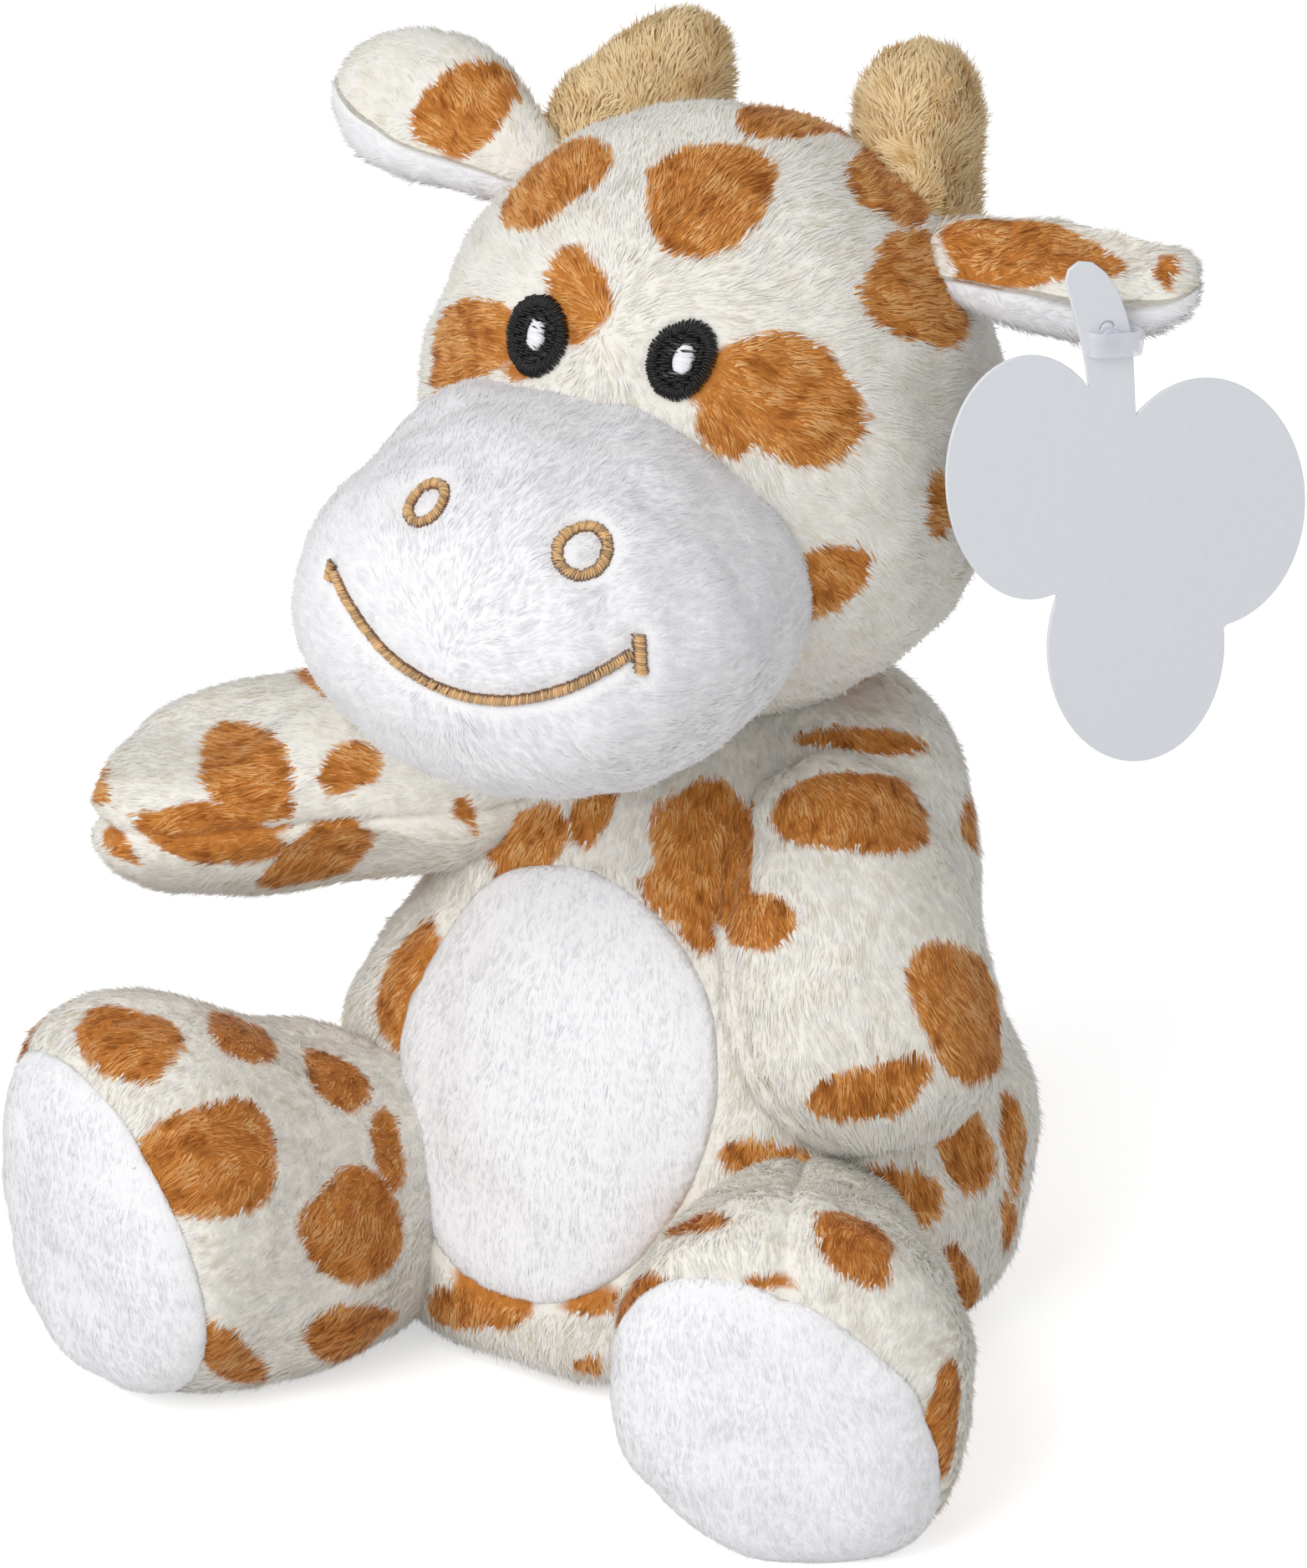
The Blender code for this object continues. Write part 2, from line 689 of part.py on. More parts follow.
def build_mouth(shop):
    """Make the nostril rings and the stitched smile with its two end ticks."""
    front_y = MUZZLE_ROOT_Y - MUZZLE_LENGTH - CUT_OVERRUN
    back_y = MUZZLE_ROOT_Y - MUZZLE_LENGTH / 2
    ring = oval_line(
        (NOSTRIL_WIDTH - NOSTRIL_THREAD_WIDTH) / 2,
        (NOSTRIL_HEIGHT - NOSTRIL_THREAD_WIDTH) / 2,
        OUTLINE_STEPS,
    )
    nostril_turn = Matrix.Rotation(-NOSTRIL_TILT, 4, "X")
    pieces = []
    sides = (("right", -1, RIGHT_NOSTRIL_PLACE), ("left", 1, LEFT_NOSTRIL_PLACE))
    for side_name, side, nostril_place in sides:
        nostril = shop.add_part(
            f"{side_name}_nostril",
            band_prism(
                "nostril", ring, NOSTRIL_THREAD_WIDTH, -NOSTRIL_REACH, NOSTRIL_REACH, closed=True
            ),
            "gold_thread",
            Matrix.Translation(nostril_place) @ nostril_turn,
        )
        tick = shop.add_part(
            f"{side_name}_smile_tick",
            band_prism("smile_tick", tick_line(side), SMILE_THREAD_WIDTH, front_y, back_y),
            "gold_thread",
        )
        pieces += [nostril, tick]
    smile = shop.add_part(
        "smile",
        band_prism("smile", smile_line(), SMILE_THREAD_WIDTH, front_y, back_y),
        "gold_thread",
    )
    pieces.append(smile)
    top = SEAM_GAP + THREAD_HEIGHT
    for piece in pieces:
        raise_on_form(shop, piece, MUZZLE_FORM, MUZZLE_PLACING, SEAM_GAP, top)
    return pieces


def build_horns(shop):
    """Make the two short horns sewn to the top of the head."""
    inner_mesh = form_mesh("horn_seat", HEAD_FORM, SEAM_GAP)
    seat = subdivide(shop.add_cutter("horn_seat_cut", inner_mesh, HEAD_PLACING))
    horns = []
    for side_name, side in (("right", -1), ("left", 1)):
        foot = (mirrored(HORN_FOOT_X, side), HORN_FOOT_Y, HORN_FOOT_Z)
        direction = (
            mirrored(-math.tan(HORN_LEAN_IN), side),
            math.tan(HORN_LEAN_BACK),
            1,
        )
        placing = placing_along(foot, direction, (0, 1, 0))
        horn = shop.add_part(
            f"{side_name}_horn", form_mesh("horn", HORN_FORM), "tan_plush", placing
        )
        boolean(subdivide(horn), seat)
        horns.append(horn)
    return horns


def ear_axes(side, root_z, rise):
    """Return an ear's root, its direction and its own placing."""
    root = Vector((mirrored(EAR_ROOT_X, side), EAR_ROOT_Y, root_z))
    direction = Vector((
        mirrored(math.cos(EAR_SWEEP_BACK), side) * math.cos(rise),
        math.sin(EAR_SWEEP_BACK) * math.cos(rise),
        math.sin(rise),
    ))
    outward = Vector((0, -math.cos(EAR_TILT), math.sin(EAR_TILT)))
    placing = placing_along(root - direction * EAR_ROOT_RADIUS, direction, outward)
    return root, direction, placing


def build_ears(shop, head):
    """Make each ear as a spotted outer half and a pale lining, hinged in the head's side."""
    inner_mesh = form_mesh("ear_seat", HEAD_FORM, SEAM_GAP)
    ears = {}
    sides = (
        ("right", -1, RIGHT_EAR_ROOT_Z, RIGHT_EAR_RISE, RIGHT_EAR_RANGE),
        ("left", 1, LEFT_EAR_ROOT_Z, LEFT_EAR_RISE, LEFT_EAR_RANGE),
    )
    for side_name, side, root_z, rise, swing in sides:
        root, direction, placing = ear_axes(side, root_z, rise)
        small = SMALL_BALL_SIDES
        cut_socket(shop, (head,), f"{side_name}_ear_socket_cut", EAR_ROOT_RADIUS, root, small)
        ball = ball_cutter(shop, f"{side_name}_ear_root", EAR_ROOT_RADIUS, root, small)
        axis = Vector((0, 0, 1)).cross(direction).normalized()
        reach = EAR_LENGTH * 2
        halves = (
            (f"{side_name}_ear", "spotted_plush", 1),
            (f"{side_name}_ear_lining", "white_plush", -1),
        )
        pieces = []
        for name, material_name, half in halves:
            piece = shop.add_part(name, form_mesh(name, EAR_FORM), material_name, placing)
            subdivide(piece)
            clear_for_swing(shop, piece, inner_mesh, HEAD_PLACING, root, axis, swing)
            boolean(piece, ball, "UNION")
            edge = SEAM_GAP / 2 * half
            low = (-reach, min(edge, reach * half), -reach)
            high = (reach, max(edge, reach * half), reach)
            slab = shop.add_cutter(f"{name}_half", box_mesh("ear_half", low, high), placing)
            boolean(piece, slab, "INTERSECT")
            pieces.append(piece)
        pivot = shop.add_pivot(f"{side_name}_ear_pivot", root)
        carry(pivot, *pieces)
        ears[side_name] = pieces
    return ears


def build_arms(shop, torso_pieces):
    """Make the raised right arm and the hanging left arm, rooted in the shoulders."""
    inner_mesh = form_mesh("arm_seat", TORSO_FORM, SEAM_GAP)
    right_direction = Vector((
        -math.cos(RIGHT_ARM_FORWARD) * math.cos(RIGHT_ARM_DROP),
        -math.sin(RIGHT_ARM_FORWARD) * math.cos(RIGHT_ARM_DROP),
        -math.sin(RIGHT_ARM_DROP),
    ))
    right_axis = Vector((-math.sin(RIGHT_ARM_FORWARD), math.cos(RIGHT_ARM_FORWARD), 0))
    out = Vector((math.sin(LEFT_ARM_SIDE), -math.cos(LEFT_ARM_SIDE), 0))
    left_direction = out * math.sin(LEFT_ARM_SPLAY) - Vector((0, 0, math.cos(LEFT_ARM_SPLAY)))
    left_axis = Vector((-math.cos(LEFT_ARM_SIDE), -math.sin(LEFT_ARM_SIDE), 0))
    up = Vector((0, 0, 1))
    right_form = arm_form(RIGHT_ARM_LENGTH)
    left_form = arm_form(LEFT_ARM_LENGTH)
    arms = (
        ("right", -1, right_form, right_direction, up, right_axis, RIGHT_ARM_RANGE),
        ("left", 1, left_form, left_direction, out, left_axis, LEFT_ARM_RANGE),
    )
    for side_name, side, form, direction, thickness_direction, axis, swing in arms:
        root = Vector((mirrored(SHOULDER_X, side), SHOULDER_Y, SHOULDER_Z))
        placing = placing_along(root - direction * ARM_ROOT_RADIUS, direction, thickness_direction)
        cut_socket(shop, torso_pieces, f"{side_name}_shoulder_cut", ARM_ROOT_RADIUS, root)
        name = f"{side_name}_arm"
        arm = shop.add_part(name, form_mesh(name, form), "spotted_plush", placing)
        subdivide(arm)
        clear_for_swing(shop, arm, inner_mesh, TORSO_PLACING, root, axis, swing)
        boolean(arm, ball_cutter(shop, f"{name}_root", ARM_ROOT_RADIUS, root), "UNION")
        carry(shop.add_pivot(f"{side_name}_arm_pivot", root), arm)


def build_legs(shop, torso_pieces, floor):
    """Make the legs, rooted in the hips, each with its pale sole."""
    inner_mesh = form_mesh("leg_seat", TORSO_FORM, SEAM_GAP)
    legs = (
        ("right", -1, RIGHT_LEG_SPLAY, RIGHT_LEG_RISE, RIGHT_SOLE_TILT),
        ("left", 1, LEFT_LEG_SPLAY, LEFT_LEG_RISE, LEFT_SOLE_TILT),
    )
    axis = Vector((0, 0, 1))
    for side_name, side, splay, rise, sole_tilt in legs:
        root = Vector((mirrored(HIP_X, side), HIP_Y, HIP_Z))
        direction = Vector((
            mirrored(math.sin(splay), side) * math.cos(rise),
            -math.cos(splay) * math.cos(rise),
            math.sin(rise),
        ))
        placing = placing_along(root - direction * LEG_ROOT_RADIUS, direction, (0, 0, 1))
        cut_socket(shop, torso_pieces, f"{side_name}_hip_cut", LEG_ROOT_RADIUS, root)
        name = f"{side_name}_leg"
        leg = shop.add_part(name, form_mesh(name, LEG_FORM), "spotted_plush", placing)
        subdivide(leg)
        boolean(leg, floor)
        low, high = LEG_RANGE
        swing = (low, high) if side > 0 else (-high, -low)
        clear_for_swing(shop, leg, inner_mesh, TORSO_PLACING, root, axis, swing)
        boolean(leg, ball_cutter(shop, f"{name}_root", LEG_ROOT_RADIUS, root), "UNION")
        reach = LEG_LENGTH
        sole_mesh = box_mesh("sole", (-reach, -reach, 0), (reach, reach, reach))
        seam = Matrix.Translation((0, 0, LEG_FORM.length - SOLE_DEPTH))
        sole_placing = placing @ seam @ Matrix.Rotation(sole_tilt, 4, "X")
        sole = shop.add_part(f"{side_name}_sole", sole_mesh, "white_plush", sole_placing)
        raise_on_form(shop, sole, LEG_FORM, placing, SEAM_GAP, SEAM_GAP + SOLE_THICKNESS)
        boolean(sole, floor)
        carry(shop.add_pivot(f"{side_name}_leg_pivot", root), leg, sole)


def build_tail(shop, torso):
    """Make the tail, rooted low in the back, and the long-haired tuft on its end."""
    root = Vector((0, TORSO_DEPTH / 2 * TAIL_ROOT_SHARE, TAIL_ROOT_Z))
    direction = Vector((0, math.cos(TAIL_DROP), -math.sin(TAIL_DROP)))
    placing = placing_along(root - direction * TAIL_ROOT_RADIUS, direction, (1, 0, 0))
    small = SMALL_BALL_SIDES
    cut_socket(shop, (torso,), "tail_socket_cut", TAIL_ROOT_RADIUS, root, small)
    tail = shop.add_part("tail", form_mesh("tail", TAIL_FORM), "spotted_plush", placing)
    subdivide(tail)
    inner_mesh = form_mesh("tail_seat", TORSO_FORM, SEAM_GAP)
    axis = Vector((0, 0, 1))
    clear_for_swing(shop, tail, inner_mesh, TORSO_PLACING, root, axis, TAIL_RANGE)
    boolean(tail, ball_cutter(shop, "tail_root", TAIL_ROOT_RADIUS, root, small), "UNION")
    tuft_root = root + direction * (TAIL_LENGTH - TUFT_OVERLAP)
    tuft_placing = placing_along(tuft_root, direction, (1, 0, 0))
    tuft = shop.add_part("tail_tuft", form_mesh("tail_tuft", TUFT_FORM), "tan_plush", tuft_placing)
    subdivide(tuft)
    sleeve_mesh = form_mesh("tuft_sleeve", TAIL_FORM, SEAM_GAP)
    boolean(tuft, subdivide(shop.add_cutter("tuft_sleeve_cut", sleeve_mesh, placing)))
    carry(shop.add_pivot("tail_pivot", root), tail, tuft)


def lobe_exit(lobe, centre, direction):
    """Return how far a ray from the card's centre runs until it leaves a lobe, or zero."""
    across, up, half_width, half_height = lobe
    start = Vector(((centre[0] - across) / half_width, (centre[1] - up) / half_height))
    step = Vector((direction[0] / half_width, direction[1] / half_height))
    a = step.dot(step)
    b = start.dot(step)
    c = start.dot(start) - 1
    inside = b * b - a * c
    return (-b + math.sqrt(inside)) / a if inside > 0 else 0


def lobe_height(lobe, across):
    """Return the upper edge of a lobe at a distance across the card."""
    centre_across, centre_up, half_width, half_height = lobe
    share = (across - centre_across) / half_width
    return centre_up + half_height * math.sqrt(1 - share * share)


def card_outline():
    """Return the card's outline: the three lobes, the neck strip and the leaning tongue."""
    lobes = (LOBE_LEFT, LOBE_RIGHT, LOBE_BOTTOM)
    centre = tuple(sum(lobe[i] for lobe in lobes) / len(lobes) for i in range(2))
    neck_left = CARD_NECK_SHIFT - CARD_NECK_WIDTH / 2
    neck_right = CARD_NECK_SHIFT + CARD_NECK_WIDTH / 2
    left_foot = (neck_left, lobe_height(LOBE_LEFT, neck_left))
    right_foot = (neck_right, lobe_height(LOBE_RIGHT, neck_right))
    first = math.atan2(right_foot[1] - centre[1], right_foot[0] - centre[0])
    last = math.atan2(left_foot[1] - centre[1], left_foot[0] - centre[0]) - 2 * math.pi
    points = [right_foot]
    for step in range(1, CARD_STEPS):
        angle = first + (last - first) * step / CARD_STEPS
        direction = (math.cos(angle), math.sin(angle))
        reach = max(lobe_exit(lobe, centre, direction) for lobe in lobes)
        points.append((centre[0] + direction[0] * reach, centre[1] + direction[1] * reach))
    points += [left_foot, (neck_left, -BAND_DROP)]
    for step in range(ARC_STEPS + 1):
        angle = math.pi + CARD_TONGUE_LEAN - math.pi * step / ARC_STEPS
        points.append((
            CARD_TONGUE_SHIFT + CARD_TONGUE_RADIUS * math.cos(angle),
            CARD_TONGUE_RISE + CARD_TONGUE_RADIUS * math.sin(angle),
        ))
    points.append((neck_right, -BAND_DROP))
    return points


def flat_outline(name, outlines, thickness):
    """Return a flat plate between its outer outline and its holes, as curve data."""
    curve = bpy.data.curves.new(name, "CURVE")
    curve.dimensions = "2D"
    curve.fill_mode = "BOTH"
    curve.extrude = thickness / 2
    for outline in outlines:
        spline = curve.splines.new("POLY")
        spline.points.add(len(outline) - 1)
        spline.use_cyclic_u = True
        for point, (across, up) in zip(spline.points, outline):
            point.co = (across, up, 0, 1)
    return curve


def turned_pin(shop, name, placing):
    """Add a pin with a flat round head, turned about its own Z, as a part."""
    profile = (
        (0, PIN_HEAD_THICKNESS),
        (PIN_HEAD_RADIUS, PIN_HEAD_THICKNESS),
        (PIN_HEAD_RADIUS, 0),
        (PIN_RADIUS, 0),
        (PIN_RADIUS, -PIN_LENGTH),
        (0, -PIN_LENGTH),
    )
    mesh = bpy.data.meshes.new(name)
    points = [(radius, 0, height) for radius, height in profile]
    mesh.from_pydata(points, [(i, i + 1) for i in range(len(points) - 1)], [])
    pin = shop.add_part(name, mesh, "clear_plastic", placing)
    screw = pin.modifiers.new("turned", "SCREW")
    screw.steps = ARC_STEPS
    screw.render_steps = ARC_STEPS
    screw.use_merge_vertices = True
    screw.merge_threshold = MERGE_DISTANCE
    return pin


def build_tag(shop, ear_pieces):
    """Make the card, its clear band, and the clear pin that holds it to the left ear."""
    across = Vector((math.cos(CARD_TURN), math.sin(CARD_TURN), 0))
    normal = Vector((math.sin(CARD_TURN), -math.cos(CARD_TURN), 0))
    up = Vector((0, 0, 1))
    pin_point = Vector((CARD_PIN_X, CARD_PIN_Y, CARD_PIN_Z))
    placing = Matrix((across, up, normal)).transposed().to_4x4()
    placing.translation = pin_point
    hole = oval_line(PIN_HOLE_RADIUS, PIN_HOLE_RADIUS, ARC_STEPS)
    card = shop.add_part(
        "tag_card",
        flat_outline("tag_card", (card_outline(), hole), CARD_THICKNESS),
        "tag_card",
        placing,
    )
    half_opening = Vector((CARD_NECK_WIDTH / 2 + SEAM_GAP, CARD_THICKNESS / 2 + SEAM_GAP))
    low = (
        CARD_NECK_SHIFT - half_opening.x,
        -BAND_DROP - BAND_HEIGHT,
        -half_opening.y,
    )
    high = (CARD_NECK_SHIFT + half_opening.x, -BAND_DROP, half_opening.y)
    wall = Vector((BAND_WALL, 0, BAND_WALL))
    overrun = Vector((0, CUT_OVERRUN, 0))
    band_mesh = box_mesh("tag_band", Vector(low) - wall, Vector(high) + wall)
    band = shop.add_part("tag_band", band_mesh, "clear_plastic", placing)
    opening = box_mesh("band_opening", Vector(low) - overrun, Vector(high) + overrun)
    boolean(band, shop.add_cutter("band_opening_cut", opening, placing))
    head_lift = Matrix.Translation((0, 0, CARD_THICKNESS / 2 + SEAM_GAP))
    turned_pin(shop, "tag_pin", placing @ head_lift)
    bm = bmesh.new()
    bmesh.ops.create_cone(
        bm,
        cap_ends=True,
        segments=ARC_STEPS,
        radius1=PIN_HOLE_RADIUS,
        radius2=PIN_HOLE_RADIUS,
        depth=2 * (PIN_LENGTH + CUT_OVERRUN),
    )
    bore = shop.add_cutter("pin_bore_cut", mesh_from(bm, "pin_bore"), placing)
    for piece in ear_pieces:
        boolean(piece, bore)
    carry(shop.add_pivot("tag_pivot", pin_point), card, band)


def main():
    """Build the whole giraffe."""
    empty_scene()
    shop = Workshop()
    floor = floor_cutter(shop)
    torso, patch = build_torso(shop, floor)
    head = build_head(shop)
    build_muzzle(shop)
    build_eyes(shop)
    build_mouth(shop)
    build_horns(shop)
    ears = build_ears(shop, head)
    build_arms(shop, (torso, patch))
    build_legs(shop, (torso, patch), floor)
    build_tail(shop, torso)
    build_tag(shop, ears["left"])


main()
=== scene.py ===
"""Dresses the plush giraffe: stuffed skins, cut pile, embroidery, swing tag and a plain studio.

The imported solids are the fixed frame. Each stuffed form gets a fine skin with its seams, and
thousands of short tapered strands of pile that carry the printed spots. Lengths are in metres.
"""

import json
import math
from collections import namedtuple

import bmesh
import bpy
import numpy as np
from bpy.props import FloatProperty, FloatVectorProperty, IntProperty, PointerProperty
from bpy.types import Operator, Panel, PropertyGroup
from mathutils import Matrix, Vector
from mathutils.bvhtree import BVHTree


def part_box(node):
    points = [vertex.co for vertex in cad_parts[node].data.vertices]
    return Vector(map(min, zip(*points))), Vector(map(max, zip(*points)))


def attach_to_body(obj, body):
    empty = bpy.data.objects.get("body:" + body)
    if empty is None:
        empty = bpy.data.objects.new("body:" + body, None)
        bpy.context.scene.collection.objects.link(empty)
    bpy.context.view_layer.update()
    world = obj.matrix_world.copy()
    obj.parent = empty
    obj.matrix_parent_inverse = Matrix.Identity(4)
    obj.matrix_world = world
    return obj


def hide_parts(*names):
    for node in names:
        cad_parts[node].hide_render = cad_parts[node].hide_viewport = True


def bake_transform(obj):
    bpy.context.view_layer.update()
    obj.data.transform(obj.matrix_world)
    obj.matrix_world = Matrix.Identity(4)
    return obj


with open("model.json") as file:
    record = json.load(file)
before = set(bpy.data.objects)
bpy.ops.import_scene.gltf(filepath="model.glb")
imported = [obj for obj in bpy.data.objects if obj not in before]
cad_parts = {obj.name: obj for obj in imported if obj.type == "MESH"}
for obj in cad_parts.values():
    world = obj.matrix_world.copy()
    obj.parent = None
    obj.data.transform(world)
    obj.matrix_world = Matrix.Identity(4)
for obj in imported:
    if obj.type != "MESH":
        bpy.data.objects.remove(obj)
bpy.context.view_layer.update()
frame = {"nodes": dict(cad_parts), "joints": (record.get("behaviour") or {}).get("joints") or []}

bl_info = {
    "name": "Plush Giraffe",
    "version": (1, 0, 0),
    "blender": (4, 5, 0),
    "location": "View3D > Sidebar > Giraffe",
    "description": "Builds the skins, pile, embroidery and tag of a seated plush giraffe",
    "category": "Object",
}

JOINTS = {joint["name"]: joint for joint in frame["joints"]}
SKINS = {}

# The photograph's camera
PHOTO_WIDTH_PX = 1564
PHOTO_HEIGHT_PX = 1876
VIEW_AZIMUTH = math.radians(28)
VIEW_ELEVATION = math.radians(23)
VIEW_DISTANCE = 1.2
VIEW_RIGHT = -0.0060
VIEW_UP = 0.0668
PIXELS_PER_METRE = 8700
SENSOR_MM = 36.0
PIXELS_PER_UNIT_ANGLE = PIXELS_PER_METRE * VIEW_DISTANCE

BODY_SIDES = 14
LIMB_SIDES = 12
SMALL_SIDES = 8
SKIN_LEVELS = 4
SMALL_SKIN_LEVELS = 3

# How each form swells: places along it, sizes there, sides of the cage and leans
FORM_SHARES = {
    "torso": (
        (0.003, 0.09, 0.25, 0.40, 0.55, 0.69, 0.81, 0.91, 0.98),
        (0.84, 1.00, 1.02, 0.99, 0.89, 0.79, 0.71, 0.61, 0.38),
        BODY_SIDES, (-0.07, -0.06, -0.04, -0.02, 0.01, 0.04, 0.06, 0.07, 0.07),
    ),
    "head": (
        (0.03, 0.12, 0.25, 0.39, 0.54, 0.68, 0.81, 0.91, 0.98),
        (0.40, 0.72, 0.93, 1.01, 1.00, 0.93, 0.78, 0.57, 0.28), BODY_SIDES, None,
    ),
    "muzzle": (
        (0.06, 0.24, 0.45, 0.64, 0.80, 0.91, 0.98),
        (0.55, 0.90, 1.00, 0.99, 0.88, 0.66, 0.34), BODY_SIDES, None,
    ),
    "horn": ((0.08, 0.30, 0.55, 0.78, 0.94), (0.92, 0.94, 0.90, 0.86, 0.54), SMALL_SIDES, None),
    "ear": (
        (0.05, 0.16, 0.32, 0.52, 0.74, 0.92),
        (0.42, 0.64, 0.76, 1.00, 1.00, 0.62), SMALL_SIDES, None,
    ),
    "arm": (
        (0.06, 0.16, 0.34, 0.52, 0.72, 0.88, 0.97),
        (0.52, 0.76, 0.90, 0.99, 1.00, 0.80, 0.45), LIMB_SIDES, None,
    ),
    "leg": (
        (0.05, 0.14, 0.32, 0.52, 0.72, 0.90, 0.98),
        (0.44, 0.60, 0.69, 0.82, 0.96, 0.97, 0.66),
        LIMB_SIDES, (0, 0, 0.01, 0.05, 0.10, 0.12, 0.12),
    ),
    "tail": ((0.06, 0.30, 0.65, 0.94), (0.80, 1.00, 0.94, 0.80), SMALL_SIDES, None),
    "tuft": ((0.06, 0.28, 0.58, 0.88), (0.74, 1.00, 0.92, 0.50), SMALL_SIDES, None),
}

# How the forms stand
HORN_LEAN_IN = math.radians(20)
HORN_LEAN_BACK = math.radians(26)
EAR_SWEEP_BACK = math.radians(10)
EAR_RISES = {"right": math.radians(12), "left": 0.0}
EAR_TILT = math.radians(38)
RIGHT_ARM_FORWARD = math.radians(26)
RIGHT_ARM_DROP = math.radians(5)
LEFT_ARM_SIDE = math.radians(55)
LEFT_ARM_SPLAY = math.radians(29)
LEG_SPLAYS = {"right": math.radians(25), "left": math.radians(24)}
LEG_RISES = {"right": math.radians(3), "left": 0.0}
SOLE_TILTS = {"right": math.radians(14), "left": math.radians(20)}
SOLE_TURNS = {"right": 0.0, "left": math.radians(15)}
TAIL_DROP = math.radians(35)
NOSTRIL_TILT = math.radians(38)
SIDES = {"right": -1, "left": 1}

# Spots in the photograph: column, row, half length, half breadth in pixels, clockwise turn
SPOT_PIXELS = {
    "head": (
        (655, 210, 72, 44, -52), (848, 228, 86, 62, -14), (952, 139, 66, 25, 5),
        (832, 116, 40, 14, 0), (1068, 217, 64, 38, 38), (1107, 343, 78, 56, 48),
        (688, 352, 66, 32, 82), (556, 410, 62, 42, -52), (622, 442, 22, 14, -20),
        (940, 477, 104, 79, 14), (870, 512, 42, 32, 50), (1126, 605, 20, 36, 0),
        (992, 697, 56, 38, -48), (1066, 824, 58, 11, -4),
    ),
    "right_ear": ((558, 125, 80, 46, -48),),
    "left_ear": ((1230, 298, 104, 44, 11), (1168, 338, 40, 26, 50), (1397, 321, 15, 20, 0)),
    "torso": (
        (627, 1012, 66, 36, -42), (708, 975, 40, 27, -62), (838, 1008, 74, 62, 72),
        (862, 1040, 70, 36, 84), (812, 1072, 44, 38, 45), (850, 1108, 46, 30, 24),
        (893, 1100, 56, 32, 12), (1038, 886, 72, 17, 4), (1160, 985, 12, 32, 0),
        (828, 1215, 13, 40, -6), (484, 1178, 90, 31, -70), (473, 1372, 58, 23, 72),
        (588, 1540, 62, 31, 42), (708, 1557, 36, 17, -8), (548, 1568, 40, 28, 10),
        (705, 1636, 16, 12, 0), (1152, 1368, 64, 38, 68), (1216, 1372, 14, 60, 0),
        (1078, 1432, 56, 38, 24), (1206, 1462, 11, 36, 0), (1157, 1550, 16, 46, 0),
        (920, 1392, 56, 28, 8),
    ),
    "right_arm": (
        (289, 912, 66, 46, 40), (252, 998, 78, 39, 6), (418, 918, 38, 31, -10),
        (380, 1024, 70, 35, -32), (384, 806, 34, 25, 35), (120, 938, 12, 23, 0),
        (138, 1008, 15, 23, -20), (557, 973, 13, 15, 0),
    ),
    "left_arm": (
        (880, 1014, 80, 28, 86), (872, 1078, 40, 30, 70), (896, 1100, 54, 33, 12),
        (1034, 968, 94, 54, 4), (1161, 1212, 94, 48, 78), (1043, 1308, 76, 36, -20),
    ),
    "right_leg": (
        (152, 1237, 66, 42, 18), (290, 1233, 48, 24, 30), (257, 1388, 82, 76, -40),
        (402, 1292, 50, 27, 48), (427, 1469, 72, 54, 72), (278, 1628, 38, 29, 30),
        (426, 1600, 60, 33, -20), (464, 1376, 48, 17, 76),
    ),
    "left_leg": (
        (1026, 1485, 62, 34, 38), (1124, 1715, 76, 28, -76), (1090, 1833, 24, 18, 0),
        (920, 1534, 32, 9, 0), (760, 1560, 44, 26, -46), (830, 1466, 38, 9, -14),
    ),
}

# Bulges of the filling: column and row in the photograph, reach and height in metres
BULGE_PIXELS = {
    "torso": (
        (440, 1190, 0.016, 0.0042), (1100, 930, 0.012, 0.0022), (1160, 965, 0.014, 0.0014),
        (1200, 1400, 0.017, 0.0030), (1205, 1150, 0.012, -0.0024), (1215, 1290, 0.009, 0.0018),
        (500, 1075, 0.010, -0.0016),
    ),
    "muzzle": (
        (400, 700, 0.020, 0.0020), (410, 540, 0.014, -0.0014), (530, 465, 0.012, 0.0024),
        (920, 560, 0.014, -0.0022),
    ),
    "right_arm": (
        (215, 860, 0.012, -0.0030), (290, 832, 0.012, -0.0032), (350, 1050, 0.013, -0.0026),
        (435, 1035, 0.012, -0.0028), (135, 985, 0.010, 0.0034), (170, 880, 0.011, -0.0016),
    ),
    "left_arm": (
        (1165, 1000, 0.016, -0.0014), (884, 1000, 0.008, -0.0020), (1195, 1175, 0.011, -0.0020),
    ),
    "right_leg": (
        (60, 1270, 0.014, 0.0020), (160, 1205, 0.019, 0.0026), (415, 1575, 0.014, 0.0036),
        (120, 1620, 0.014, -0.0012), (392, 1215, 0.012, 0.0026),
    ),
    "left_leg": (
        (955, 1400, 0.018, -0.0020), (1082, 1842, 0.010, 0.0028), (1130, 1690, 0.020, 0.0008),
    ),
    "right_horn": (
        (700, 125, 0.008, 0.0028), (845, 70, 0.010, -0.0032), (780, 30, 0.010, -0.0014),
    ),
    "left_horn": (
        (1185, 110, 0.009, -0.0014), (1162, 205, 0.009, -0.0022), (1180, 235, 0.009, -0.0034),
    ),
    "right_ear": ((600, 95, 0.009, 0.0018), (540, 62, 0.012, 0.0010)),
    "left_ear": (
        (1292, 264, 0.008, -0.0020), (1345, 275, 0.008, -0.0032), (1415, 320, 0.005, 0.0012),
    ),
}

# The outline of a printed spot
SPOT_EDGE_SHARES = (0.0, 0.0, 0.09, 0.06, 0.035)
SPOT_LEAST_VIEW_SHARE = 0.30
SPOT_WRAP_NORMAL = -0.2

